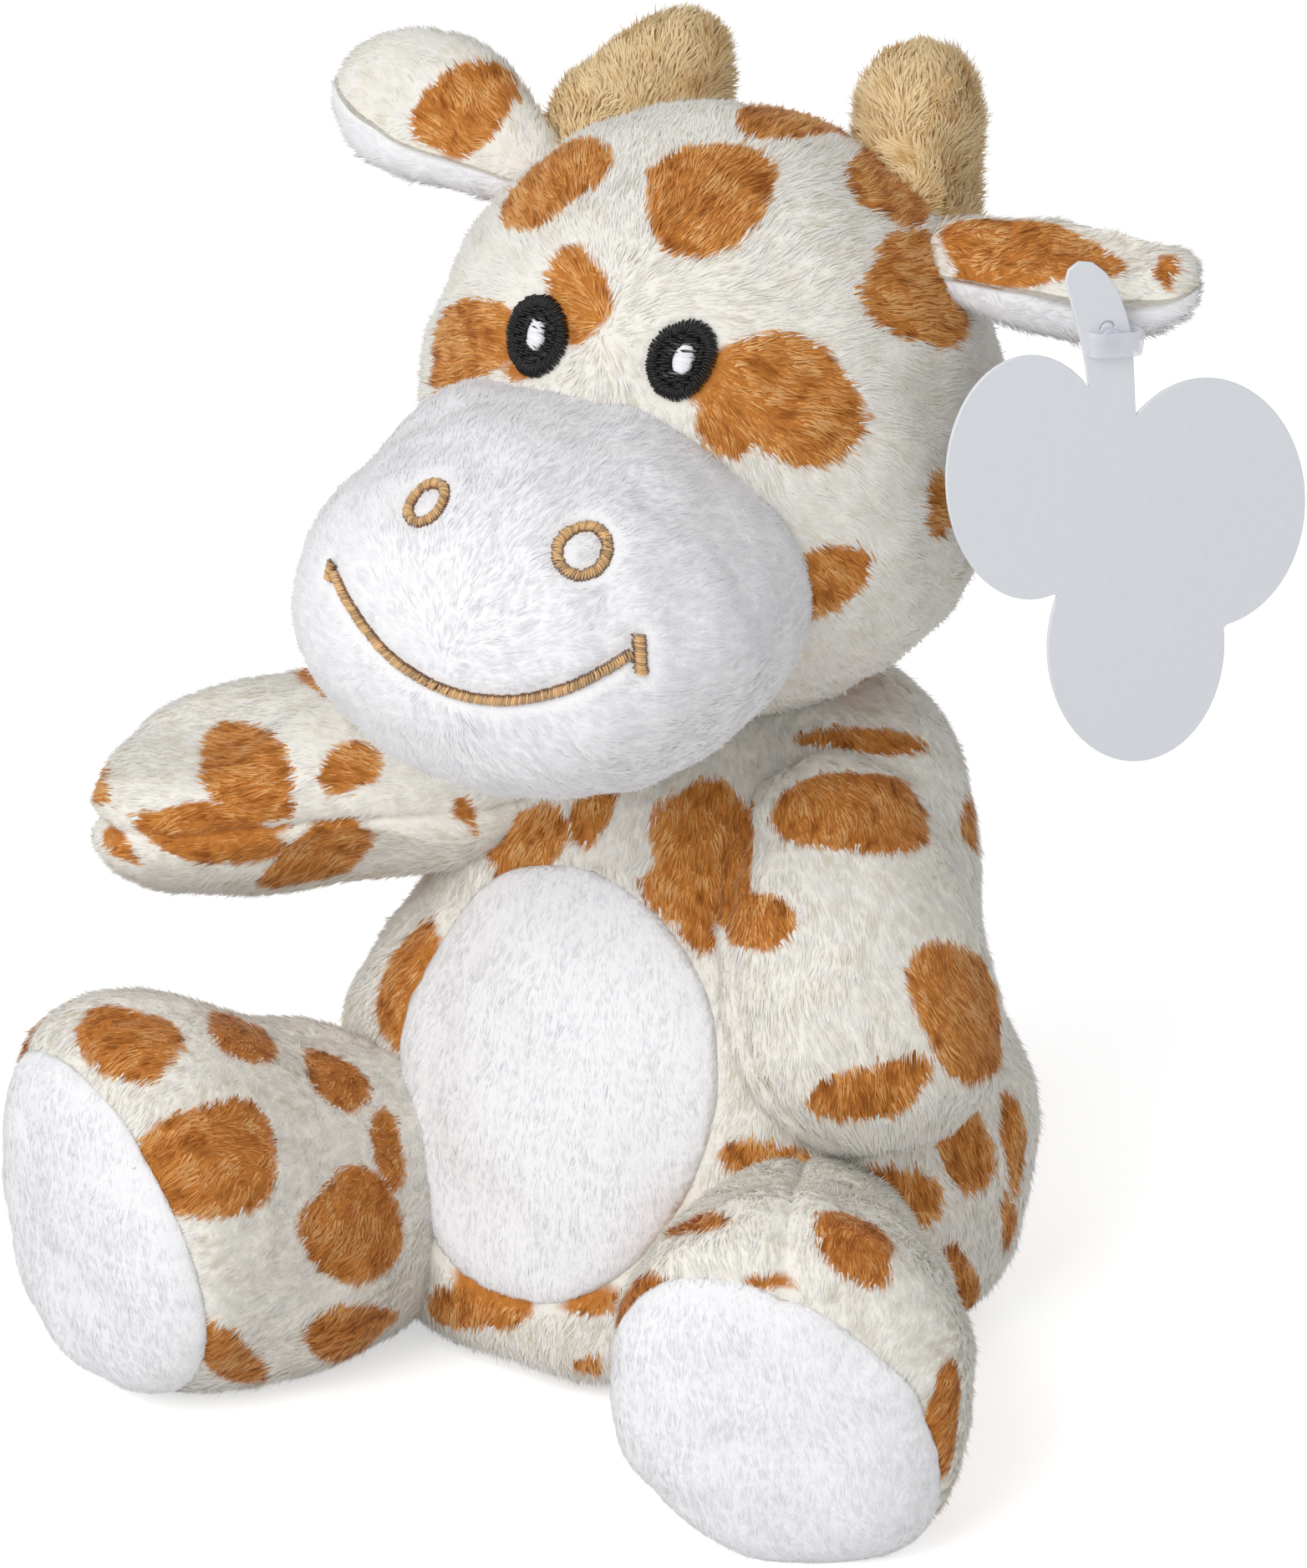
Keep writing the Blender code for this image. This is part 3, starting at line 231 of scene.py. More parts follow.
# Spots on the sides that the photograph doesn't show
UNSEEN_TRIES = 6000
UNSEEN_COVER_DEPTH = 0.002
UNSEEN_CLEAR_SHARE = 0.8
UNSEEN_SPACING_SHARE = 1.15
UNSEEN_SIZE_SHARE = 0.8
UNSEEN_SIZE_SPREAD = 0.45
UNSEEN_STRETCH = 1.05
UNSEEN_STRETCH_SPREAD = 0.3

Form = namedtuple(
    "Form", "length width depth length_shares radius_shares sides lean_shares placing"
)
Pile = namedtuple("Pile", "length width density lift wander segments curl clump")
Spot = namedtuple("Spot", "centre normal axes scale radius phases")


def linear(red, green, blue):
    """Return a colour written from 0 to 255 as the linear values that shaders use."""
    values = []
    for value in (red, green, blue):
        share = value / 255
        values.append(share / 12.92 if share <= 0.04045 else ((share + 0.055) / 1.055) ** 2.4)
    return tuple(values)


def length_of(name, metres, about):
    """Return a size that a user can change."""
    return FloatProperty(
        name=name, description=about, default=metres, min=0, unit="LENGTH", precision=4
    )


def colour_of(name, rgb, about):
    """Return a colour that a user can change."""
    return FloatVectorProperty(
        name=name, description=about, default=linear(*rgb), min=0, max=1, size=3, subtype="COLOR"
    )


class GIRAFFE_PG_sizes(PropertyGroup):
    """The sizes of the stuffed forms and their embroidery."""

    torso_height: length_of("Torso height", 0.0930, "From under the seat to the neck")
    torso_width: length_of("Torso width", 0.0900, "Across the belly")
    torso_depth: length_of("Torso depth", 0.0840, "From belly to back")
    seat_sink: length_of("Seat sink", 0.0005, "How far the seat is pressed flat")
    patch_width: length_of("Belly patch width", 0.0495, "Width of the white oval")
    patch_height: length_of("Belly patch height", 0.0550, "Height of the white oval")
    head_width: length_of("Head width", 0.0790, "Across the cheeks")
    head_depth: length_of("Head depth", 0.0760, "From face to nape")
    head_height: length_of("Head height", 0.0820, "From chin to crown")
    muzzle_width: length_of("Muzzle width", 0.0652, "Across the snout")
    muzzle_height: length_of("Muzzle height", 0.0510, "From nose to chin")
    muzzle_length: length_of("Muzzle length", 0.0650, "From inside the head to the nose")
    horn_width: length_of("Horn width", 0.0200, "Across a horn")
    horn_length: length_of("Horn length", 0.0280, "From inside the head to the tip")
    ear_length: length_of("Ear length", 0.0330, "From the head to the tip")
    ear_width: length_of("Ear width", 0.0190, "Across an ear")
    ear_thickness: length_of("Ear thickness", 0.0120, "Through an ear")
    right_arm_length: length_of("Right arm length", 0.0530, "From shoulder to tip")
    left_arm_length: length_of("Left arm length", 0.0430, "From shoulder to tip")
    arm_width: length_of("Arm width", 0.0400, "Across an arm")
    arm_thickness: length_of("Arm thickness", 0.0310, "Through an arm")
    right_leg_length: length_of("Right leg length", 0.0600, "From hip to sole")
    left_leg_length: length_of("Left leg length", 0.0565, "From hip to sole")
    leg_width: length_of("Leg width", 0.0486, "Across a foot")
    leg_height: length_of("Leg height", 0.0545, "Height of a foot")
    right_sole_depth: length_of("Right sole depth", 0.0090, "How far the sole wraps back")
    left_sole_depth: length_of("Left sole depth", 0.0100, "How far the sole wraps back")
    tail_length: length_of("Tail length", 0.0340, "From the back to the end of the tuft")
    tail_width: length_of("Tail width", 0.0085, "Across the tail")
    tuft_length: length_of("Tuft length", 0.0170, "Length of the tuft's stuffed core")
    tuft_width: length_of("Tuft width", 0.0130, "Width of the tuft's stuffed core")
    eye_width: length_of("Eye width", 0.0092, "Width of the black oval")
    eye_height: length_of("Eye height", 0.0095, "Height of the black oval")
    nostril_width: length_of("Nostril width", 0.0068, "Width of the stitched ring")
    nostril_height: length_of("Nostril height", 0.0082, "Height of the stitched ring")
    smile_width: length_of("Smile width", 0.0400, "From corner to corner")
    smile_depth: length_of("Smile depth", 0.0090, "How far the smile sags")
    thread_column: length_of("Stitched line width", 0.00128, "Width of a satin-stitched line")


class GIRAFFE_PG_pile(PropertyGroup):
    """The cut pile of the plush."""

    length: length_of("Pile length", 0.0021, "Length of a strand on the body")
    width: length_of("Strand width", 0.00026, "Width of a strand at its root")
    per_square_mm: FloatProperty(
        name="Strands", description="Strands on each square millimetre", default=5.4, min=0.1
    )
    lift: FloatProperty(
        name="Lift", description="Angle of a strand above the skin",
        default=math.radians(17), subtype="ANGLE",
    )
    long_length: length_of("Long pile length", 0.0029, "Length of a strand on horns and tuft")
    seed: IntProperty(name="Seed", description="Start of the random draws", default=7)


class GIRAFFE_PG_colours(PropertyGroup):
    """The colours of the plush, the threads and the tag."""

    cream: colour_of("Cream", (247, 245, 240), "Ground of the spotted plush")
    cream_shade: colour_of("Cream shade", (236, 231, 217), "Deeper strands of the ground")
    spot_light: colour_of("Spot light", (234, 182, 118), "Palest strands in a spot")
    spot: colour_of("Spot", (217, 145, 70), "Most strands in a spot")
    spot_dark: colour_of("Spot dark", (158, 90, 33), "Darkest strands in a spot")
    white: colour_of("White", (247, 247, 249), "White plush")
    white_shade: colour_of("White shade", (242, 242, 245), "Deeper strands of white plush")
    tan: colour_of("Tan", (244, 220, 174), "Horns and tuft")
    tan_shade: colour_of("Tan shade", (222, 184, 126), "Deeper strands of horns and tuft")
    black_thread: colour_of("Black thread", (9, 8, 10), "Eyes")
    white_thread: colour_of("White thread", (240, 240, 246), "Glints in the eyes")
    gold_thread: colour_of("Gold thread", (202, 162, 112), "Nostrils and smile")
    # Brown under-thread: its dark edge beside the gold lines is partly a real under-thread and
    # partly painted shade where the lines sink into the pile
    brown_thread: colour_of("Brown thread", (122, 86, 52), "Under the nostrils and smile")
    card: colour_of("Card", (229, 232, 238), "Swing tag")


def sizes():
    """Return the sizes set on the scene."""
    return bpy.context.scene.giraffe_sizes


def colours():
    """Return the colours set on the scene."""
    return bpy.context.scene.giraffe_colours


def pile_settings():
    """Return the pile set on the scene."""
    return bpy.context.scene.giraffe_pile


# Placing forms

def placing_along(root, direction, roll_reference):
    """Return the placing whose +Z points along direction, with X square to a reference."""
    axis_z = Vector(direction).normalized()
    axis_x = Vector(roll_reference).cross(axis_z).normalized()
    axis_y = axis_z.cross(axis_x)
    rotation = Matrix((axis_x, axis_y, axis_z)).transposed().to_4x4()
    return Matrix.Translation(root) @ rotation


def joint_point(name):
    """Return where a joint turns."""
    return Vector(JOINTS[name]["pos_m"])


def rooted(joint, direction, root_radius, reference):
    """Return the placing of a limb whose ball root is centred on its joint."""
    return placing_along(joint_point(joint) - direction * root_radius, direction, reference)


ARM_ROOT_RADIUS = 0.0130
LEG_ROOT_RADIUS = 0.0150
EAR_ROOT_RADIUS = 0.0060
TAIL_ROOT_RADIUS = 0.0045
TUFT_OVERLAP = 0.0070
HEAD_BASE_Z = 0.0845
MUZZLE_ROOT = Vector((-0.0012, -0.0030, 0.1140))
MUZZLE_DROOP = 0.0010
HORN_FOOT = Vector((0.0245, 0.0200, 0.1460))


def aimed(across, ahead, rise):
    """Return a direction that runs across and ahead over level ground, and rises by an angle."""
    level = math.cos(rise)
    return Vector((across * level, ahead * level, math.sin(rise)))


def limb_direction(name):
    """Return the direction that a limb, an ear or the tail points in."""
    side_name, _, kind = name.partition("_")
    side = SIDES.get(side_name, 1)
    if name == "tail":
        return aimed(0, 1, -TAIL_DROP)
    if kind == "ear":
        sweep = EAR_SWEEP_BACK
        return aimed(side * math.cos(sweep), math.sin(sweep), EAR_RISES[side_name])
    if kind == "leg":
        splay = LEG_SPLAYS[side_name]
        return aimed(side * math.sin(splay), -math.cos(splay), LEG_RISES[side_name])
    if name == "right_arm":
        turn = RIGHT_ARM_FORWARD
        return aimed(-math.cos(turn), -math.sin(turn), -RIGHT_ARM_DROP)
    return left_arm_out() * math.sin(LEFT_ARM_SPLAY) - Vector((0, 0, math.cos(LEFT_ARM_SPLAY)))


def left_arm_out():
    """Return the level direction that the hanging arm leans towards."""
    return Vector((math.sin(LEFT_ARM_SIDE), -math.cos(LEFT_ARM_SIDE), 0))


def form_placing(name, kind, side_name):
    """Return where a form starts and how it is turned."""
    up = Vector((0, 0, 1))
    if kind == "torso":
        return Matrix.Translation((0, 0, -sizes().seat_sink))
    if kind == "head":
        return Matrix.Translation((0, joint_point("neck_turn").y, HEAD_BASE_Z))
    if kind == "muzzle":
        return placing_along(MUZZLE_ROOT, (0, -sizes().muzzle_length, -MUZZLE_DROOP), up)
    if kind == "horn":
        side = SIDES[side_name]
        foot = Vector((side * HORN_FOOT.x, HORN_FOOT.y, HORN_FOOT.z))
        direction = (-side * math.tan(HORN_LEAN_IN), math.tan(HORN_LEAN_BACK), 1)
        return placing_along(foot, direction, (0, 1, 0))
    if kind == "tuft":
        direction = limb_direction("tail")
        root = joint_point("tail_swing") + direction * (sizes().tail_length - TUFT_OVERLAP)
        return placing_along(root, direction, (1, 0, 0))
    joint, root_radius, reference = {
        "ear": (f"{name}_flap", EAR_ROOT_RADIUS, (0, -math.cos(EAR_TILT), math.sin(EAR_TILT))),
        "arm": (f"{name}_lift", ARM_ROOT_RADIUS, up if side_name == "right" else left_arm_out()),
        "leg": (f"{name}_turn", LEG_ROOT_RADIUS, up),
        "tail": ("tail_swing", TAIL_ROOT_RADIUS, (1, 0, 0)),
    }[kind]
    return rooted(joint, limb_direction(name), root_radius, reference)


FORM_SIZES = {
    "torso": ("torso_height", "torso_width", "torso_depth", 0),
    "head": ("head_height", "head_width", "head_depth", 0),
    "muzzle": ("muzzle_length", "muzzle_width", "muzzle_height", 0),
    "horn": ("horn_length", "horn_width", "horn_width", 0),
    "ear": ("ear_length", "ear_width", "ear_thickness", EAR_ROOT_RADIUS),
    "arm": ("{side}_arm_length", "arm_width", "arm_thickness", ARM_ROOT_RADIUS),
    "leg": ("{side}_leg_length", "leg_width", "leg_height", LEG_ROOT_RADIUS),
    "tail": ("tail_length", "tail_width", "tail_width", TAIL_ROOT_RADIUS),
    "tuft": ("tuft_length", "tuft_width", "tuft_width", 0),
}


def form(name):
    """Return one stuffed form of the toy with its placing."""
    side_name, _, kind = name.partition("_")
    kind = kind or name
    length_name, width_name, depth_name, root_radius = FORM_SIZES[kind]
    size = sizes()
    length = getattr(size, length_name.format(side=side_name)) + root_radius
    width = getattr(size, width_name)
    depth = getattr(size, depth_name)
    return Form(length, width, depth, *FORM_SHARES[kind], form_placing(name, kind, side_name))


# Scene helpers

def put(name, data):
    """Return a new object of the scene that shows some data."""
    obj = bpy.data.objects.new(name, data)
    bpy.context.scene.collection.objects.link(obj)
    return obj


def finished_mesh(obj):
    """Return an object's mesh with its modifiers applied, and take the object away."""
    graph = bpy.context.evaluated_depsgraph_get()
    mesh = bpy.data.meshes.new_from_object(obj.evaluated_get(graph))
    bpy.data.objects.remove(obj)
    return mesh


def face_outwards(mesh, weld=0.0):
    """Turn a mesh's faces outwards, after joining points nearer than the weld."""
    bm = bmesh.new()
    bm.from_mesh(mesh)
    if weld:
        bmesh.ops.remove_doubles(bm, verts=bm.verts, dist=weld)
    bmesh.ops.recalc_face_normals(bm, faces=bm.faces)
    bm.to_mesh(mesh)
    bm.free()


# Array helpers

def unit(vectors):
    """Return vectors of length one."""
    lengths = np.linalg.norm(vectors, axis=-1, keepdims=True)
    return vectors / np.maximum(lengths, 1e-12)


def values_of(items, name, kind=np.float32):
    """Return a value of three numbers that each item of a mesh has."""
    values = np.empty(len(items) * 3, kind)
    items.foreach_get(name, values)
    return values.reshape(-1, 3)


def moved(matrix, points):
    """Return points carried by a matrix."""
    values = np.array(matrix)
    return points @ values[:3, :3].T + values[:3, 3]


WAVES_AN_OCTAVE = 6
OCTAVE_PITCH_SHARE = 0.5
OCTAVE_WEIGHT_SHARE = 0.6
NOISE_PEAK = 1.7
END_SWELL_SHARE = 0.75
LEAST_RADIUS_SHARE = 0.02


def wave_noise(points, pitch, seed, octaves=2):
    """Return smooth noise between about -1 and 1 whose waves are a pitch long."""
    rng = np.random.default_rng(seed)
    total = np.zeros(len(points))
    weight = 1.0
    power = 0.0
    for _ in range(octaves):
        for _ in range(WAVES_AN_OCTAVE):
            direction = unit(rng.normal(size=3))
            phase = rng.random() * 2 * math.pi
            total += weight * np.sin(points @ direction * (2 * math.pi / pitch) + phase)
            power += weight * weight / 2
        pitch *= OCTAVE_PITCH_SHARE
        weight *= OCTAVE_WEIGHT_SHARE
    return np.clip(total / (NOISE_PEAK * math.sqrt(power)), -1, 1)


def depth_inside(shape, points):
    """Return how far points lie under a form's surface, negative outside it."""
    local = moved(shape.placing.inverted(), points)
    share = local[:, 2] / shape.length
    first = shape.length_shares[0]
    last = shape.length_shares[-1]
    stops = (0, first / 2, *shape.length_shares, (1 + last) / 2, 1)
    radii = shape.radius_shares
    swell = (0, radii[0] * END_SWELL_SHARE, *radii, radii[-1] * END_SWELL_SHARE, 0)
    radius = np.maximum(np.interp(share, stops, swell), LEAST_RADIUS_SHARE)
    leans = shape.lean_shares or (0,) * len(radii)
    lean = np.interp(share, shape.length_shares, leans) * shape.depth
    half_width = shape.width / 2 * radius
    half_depth = shape.depth / 2 * radius
    ratio = np.hypot(local[:, 0] / half_width, (local[:, 1] - lean) / half_depth)
    depth = (1 - ratio) * np.minimum(half_width, half_depth)
    return np.where((share < 0) | (share > 1), -1.0, depth)


# Skins

class Skin:
    """A closed stuffed skin and the arrays that sculpting and pile read."""

    def __init__(self, name, shape, mesh):
        self.name = name
        self.form = shape
        self.object = put(name, mesh)
        self.seam = np.zeros(len(mesh.vertices))
        self.read()

    def read(self):
        """Take points, normals and triangles from the mesh."""
        mesh = self.object.data
        self.points = values_of(mesh.vertices, "co").astype(float)
        self.normals = values_of(mesh.vertices, "normal").astype(float)
        mesh.calc_loop_triangles()
        self.triangles = values_of(mesh.loop_triangles, "vertices", np.int32)
        self.local = moved(self.form.placing.inverted(), self.points)

    def write(self, points):
        """Give the mesh new points."""
        mesh = self.object.data
        mesh.vertices.foreach_set("co", points.astype(np.float32).ravel())
        mesh.update()
        self.read()

    def press(self, depth):
        """Push every point inwards by its own depth."""
        self.write(self.points - self.normals * depth[:, None])

    def sew(self, distance, depth, width, pucker=0.0, along=None):
        """Pull the skin in along a seam, where distance is zero, with small puckers."""
        near = np.exp(-np.abs(distance) / width)
        pull = near * depth
        if along is not None:
            ripple = np.sin(along * (2 * math.pi / SEAM_PUCKER_PITCH))
            pull = pull + ripple * pucker * np.exp(-np.abs(distance) / (3 * width))
        self.seam = np.maximum(self.seam, near)
        self.press(pull)

    def swell(self, place, radius, height):
        """Let the filling bulge outwards round a place."""
        reach = np.linalg.norm(self.points - np.array(place), axis=1)
        self.press(-height * np.exp(-((reach / radius) ** 2)))

    def seen_at(self, column, row):
        """Return the point of the skin at a pixel of the photograph, or the nearest to it."""
        ray = pixel_ray(column, row)
        place, _, _, _ = self.tree().ray_cast(VIEW_PLACE, ray)
        if place is None:
            offset = self.points - np.array(VIEW_PLACE)
            beside = offset - np.outer(offset @ np.array(ray), np.array(ray))
            place = self.points[np.linalg.norm(beside, axis=1).argmin()]
        return place

    def tree(self):
        """Return a search tree over the skin."""
        return BVHTree.FromPolygons(self.points.tolist(), self.triangles.tolist())


SEAM_PUCKER_PITCH = 0.0042
SEAM_DEPTH = 0.0011
SEAM_WIDTH = 0.0011
SEAM_PUCKER = 0.00022
LUMP_HEIGHT = 0.00045
LUMP_PITCH = 0.019
FLOOR_CLEARANCE = 0.0002
BACKWARD_NORMAL = 0.1


def form_cage(name, shape):
    """Return the coarse cage of a form as a mesh.

    Its points and faces are listed here, so that their order is the same each run.
    """
    sides = shape.sides
    leans = shape.lean_shares or (0,) * len(shape.length_shares)
    swell = 1 / math.cos(math.pi / sides)
    points = [(0, leans[0] * shape.depth, 0)]
    for length_share, radius_share, lean in zip(shape.length_shares, shape.radius_shares, leans):
        for step in range(sides):
            angle = math.pi / 2 + step * 2 * math.pi / sides
            points.append((
                math.cos(angle) * swell * shape.width / 2 * radius_share,
                math.sin(angle) * swell * shape.depth / 2 * radius_share + lean * shape.depth,
                shape.length * length_share,
            ))
    points.append((0, leans[-1] * shape.depth, shape.length))
    last = len(points) - 1
    faces = []
    for step in range(sides):
        beside = (step + 1) % sides
        faces.append((0, 1 + beside, 1 + step))
        for ring in range(1, last - sides, sides):
            faces.append((ring + step, ring + beside, ring + sides + beside, ring + sides + step))
        faces.append((last - sides + step, last - sides + beside, last))
    mesh = bpy.data.meshes.new(name)
    mesh.from_pydata(points, [], faces)
    return mesh


def stuffed_skin(name, form_name, levels):
    """Return the fine skin of a form, in place, with the soft lumps of its filling."""
    shape = form(form_name)
    cage = put(name, form_cage(name, shape))
    smooth = cage.modifiers.new("soft", "SUBSURF")
    smooth.levels = levels
    smooth.render_levels = levels
    fine = finished_mesh(cage)
    fine.transform(shape.placing)
    fine.shade_smooth()
    skin = Skin(name, shape, fine)
    lumps = wave_noise(skin.points, LUMP_PITCH, len(name) + levels)
    skin.press(-lumps * LUMP_HEIGHT)
    for column, row, radius, height in BULGE_PIXELS.get(form_name, ()):
        skin.swell(skin.seen_at(column, row), radius, height)
    return skin


def sew_back(skin):
    """Sew the seam that runs down the middle of a form's back."""
    back = np.where(skin.normals[:, 1] > BACKWARD_NORMAL, skin.points[:, 0], 1.0)
    skin.sew(back, SEAM_DEPTH, SEAM_WIDTH, SEAM_PUCKER, skin.points[:, 2])


def seat_on_floor(skin):
    """Flatten what would reach under the floor."""
    points = skin.points.copy()
    points[:, 2] = np.maximum(points[:, 2], FLOOR_CLEARANCE)
    skin.write(points)


def patch_of(skin, name, outside, lift, thickness):
    """Return a closed patch cut from a skin along the line where outside is zero.

    Of each skin edge that crosses the line, the nearer end moves onto it.
    """
    edged = skin.points.copy()
    total = np.zeros_like(edged)
    count = np.zeros(len(edged))
    for first, second in ((0, 1), (1, 2), (2, 0), (1, 0), (2, 1), (0, 2)):
        out, within = skin.triangles[:, first], skin.triangles[:, second]
        crossing = (outside[out] >= 0) & (outside[within] < 0)
        out, within = out[crossing], within[crossing]
        share = outside[out] / (outside[out] - outside[within])
        place = skin.points[out] * (1 - share)[:, None] + skin.points[within] * share[:, None]
        nearer = np.where(share < 0.5, out, within)
        np.add.at(total, nearer, place)
        np.add.at(count, nearer, 1)
    edge = count > 0
    edged[edge] = total[edge] / count[edge, None]
    within = (outside < 0) & ~edge
    kept = (within | edge)[skin.triangles].all(axis=1) & within[skin.triangles].any(axis=1)
    used, corners = np.unique(skin.triangles[kept], return_inverse=True)
    points = edged[used] + skin.normals[used] * lift
    mesh = bpy.data.meshes.new(name)
    mesh.from_pydata(points.tolist(), [], corners.reshape(-1, 3).tolist())
    mesh.shade_smooth()
    obj = put(name, mesh)
    shell = obj.modifiers.new("felt", "SOLIDIFY")
    shell.thickness = thickness
    shell.offset = -1
    patch = Skin(name, skin.form, finished_mesh(obj))
    patch.triangles = patch.triangles[(patch.triangles < len(used)).all(axis=1)]
    patch.seam = np.zeros(len(patch.points))
    patch.seam[: len(used)] = skin.seam[used]
    return patch


# Printed spots

VIEW_BACK = Vector((
    math.sin(VIEW_AZIMUTH) * math.cos(VIEW_ELEVATION),
    -math.cos(VIEW_AZIMUTH) * math.cos(VIEW_ELEVATION),
    math.sin(VIEW_ELEVATION),
))
VIEW_SIDE = Vector((math.cos(VIEW_AZIMUTH), math.sin(VIEW_AZIMUTH), 0))
VIEW_TOP = VIEW_BACK.cross(VIEW_SIDE)
VIEW_PLACE = VIEW_SIDE * VIEW_RIGHT + VIEW_TOP * VIEW_UP + VIEW_BACK * VIEW_DISTANCE


def pixel_ray(column, row):
    """Return the direction from the camera through a pixel of the photograph."""
    across = (column - PHOTO_WIDTH_PX / 2) / PIXELS_PER_UNIT_ANGLE
    down = (row - PHOTO_HEIGHT_PX / 2) / PIXELS_PER_UNIT_ANGLE
    return (VIEW_SIDE * across - VIEW_TOP * down - VIEW_BACK).normalized()


def square_to(normal):
    """Return two directions that lie in the plane square to a normal."""
    first = normal.orthogonal().normalized()
    return first, normal.cross(first)


def turned_axes(turn, half_long, half_broad):
    """Return the two half axes of an oval, turned by an angle."""
    return np.array([
        [math.cos(turn) * half_long, -math.sin(turn) * half_broad],
        [math.sin(turn) * half_long, math.cos(turn) * half_broad],
    ])


def seen_spots(skin, form_name, seed):
    """Return the printed spots that the photograph shows on a form."""
    rng = np.random.default_rng(seed)
    tree = skin.tree()
    spots = []
    for column, row, half_long, half_broad, turn_degrees in SPOT_PIXELS[form_name]:
        phases = rng.random(len(SPOT_EDGE_SHARES)) * 2 * math.pi
        hit, normal, _, _ = tree.ray_cast(VIEW_PLACE, pixel_ray(column, row))
        if hit is None:
            continue
        first, second = square_to(normal)
        scale = PIXELS_PER_UNIT_ANGLE / (VIEW_PLACE - hit).length
        shown = np.array([
            [VIEW_SIDE.dot(first), VIEW_SIDE.dot(second)],
            [-VIEW_TOP.dot(first), -VIEW_TOP.dot(second)],
        ])
        left, stretch, right = np.linalg.svd(shown)
        stretch = np.maximum(stretch, SPOT_LEAST_VIEW_SHARE)
        shown = (left * stretch) @ right * scale
        on_skin = np.linalg.solve(
            shown, turned_axes(math.radians(turn_degrees), half_long, half_broad)
        )
        radius = math.sqrt(abs(np.linalg.det(on_skin)))
        axes = np.array([first, second])
        scale = np.linalg.inv(on_skin)
        spots.append(Spot(np.array(hit), np.array(normal), axes, scale, radius, phases))
    return spots


def unseen_spots(skin, seen, size, gap, covers, seed):
    """Return spots that fill the sides of a skin which the photograph doesn't show."""
    rng = np.random.default_rng(seed)
    towards = unit(np.array(VIEW_PLACE) - skin.points)
    facing = (skin.normals * towards).sum(axis=1)
    shown = skin.points[facing > 0]
    open_side = facing < 0
    for cover in covers:
        open_side &= depth_inside(cover, skin.points) < UNSEEN_COVER_DEPTH
    candidates = np.flatnonzero(open_side)
    rng.shuffle(candidates)
    spots = []
    for index in candidates[:UNSEEN_TRIES]:
        point = skin.points[index]
        radius = size * (UNSEEN_SIZE_SHARE + UNSEEN_SIZE_SPREAD * rng.random())
        crowded = any(
            np.linalg.norm(point - other.centre)
            <= radius + other.radius * UNSEEN_SPACING_SHARE + gap
            for other in (*seen, *spots)
        )
        clearance = radius * UNSEEN_CLEAR_SHARE
        if crowded or np.linalg.norm(shown - point, axis=1).min() <= clearance:
            continue
        normal = Vector(skin.normals[index])
        first, second = square_to(normal)
        turn = rng.random() * math.pi
        stretch = UNSEEN_STRETCH + UNSEEN_STRETCH_SPREAD * rng.random()
        on_skin = turned_axes(turn, radius * stretch, radius / stretch)
        phases = rng.random(len(SPOT_EDGE_SHARES)) * 2 * math.pi
        axes = np.array([first, second])
        scale = np.linalg.inv(on_skin)
        spots.append(Spot(point, np.array(normal), axes, scale, radius, phases))
    return spots


def all_spots(skin, form_name, size, gap, covers, seeds):
    """Return the spots that the photograph shows on a form and those of its other sides."""
    seen = seen_spots(skin, form_name, seeds[0])
    return seen + unseen_spots(skin, seen, size, gap, covers, seeds[1])


def spot_depth(spots, points, normals):
    """Return how far inside the nearest printed spot points lie, negative outside."""
    best = np.full(len(points), -1.0)
    for spot in spots:
        offset = points - spot.centre
        rise = offset @ spot.normal
        flat = offset - np.outer(rise, spot.normal)
        reach = np.linalg.norm(offset, axis=1)
        flat_reach = np.maximum(np.linalg.norm(flat, axis=1), 1e-9)
        flat *= (reach / flat_reach)[:, None]
        place = (flat @ spot.axes.T) @ spot.scale.T
        ratio = np.linalg.norm(place, axis=1)
        angle = np.arctan2(place[:, 1], place[:, 0])
        edge = np.ones(len(points))
        for count, (share, phase) in enumerate(zip(SPOT_EDGE_SHARES, spot.phases)):
            edge += share * np.sin(count * angle + phase)
        depth = (edge - ratio) * spot.radius
        depth[(normals @ spot.normal) < SPOT_WRAP_NORMAL] = -1.0
        best = np.maximum(best, depth)
    return best


# Cut pile

SQUARE_MM_A_SQUARE_METRE = 1e6
CELL_KEY = (1, 4099, 16785409)
CLUMP_WARP_PITCH_SHARE = 2.6
CLUMP_WARP_SHARE = 0.5
CLUMP_PULL_SHARE = 0.32
CLUMP_PULL_LEAST = 0.6
CLUMP_PULL_SPREAD = 0.8
SWIRL_PITCH = 0.011
SWIRL_WAVE_SHARE = 0.75
SWIRL_STRAND_SHARE = 0.8
SWIRL_CLUMP_SHARE = 0.5
LIFT_PITCH = 0.0065
LIFT_WAVE_SHARE = 0.30
LIFT_STRAND_SHARE = 0.5
LIFT_SEAM_SHARE = 0.5
LENGTH_LEAST = 0.78
LENGTH_SPREAD = 0.4
WIDTH_LEAST = 0.75
WIDTH_SPREAD = 0.5
CURL_PITCH = 0.006
BEND_RISE_SHARE = 0.12
BEND_WIDTH_SHARE = 0.85
SHORT_PILE_WANDER = 0.55
SHORT_PILE_CLUMP = 0.0022
LONG_PILE_WIDTH_SHARE = 0.85
LONG_PILE_DENSITY_SHARE = 1.6
LONG_PILE_LIFT_SHARE = 2.1
LONG_PILE_WANDER = 1.3
LONG_PILE_CURL = 0.16
LONG_PILE_CLUMP = 0.0018
STRAND_RIDGE_SHARE = 0.30
STRAND_SINK_SHARE = 0.5
SEAM_SHORTENING_SHARE = 0.55
STRANDS_A_PIECE = 46000
COVER_DEPTH = 0.0026
SKIN_NORMAL_SHARE = 0.86
TONE_CLUMP_SHARE = 0.22
TONE_WAVE_SHARE = 0.36
TONE_STREAK_SHARE = 0.22
TONE_STRAND_SHARE = 0.20
TONE_PITCH = 0.0050
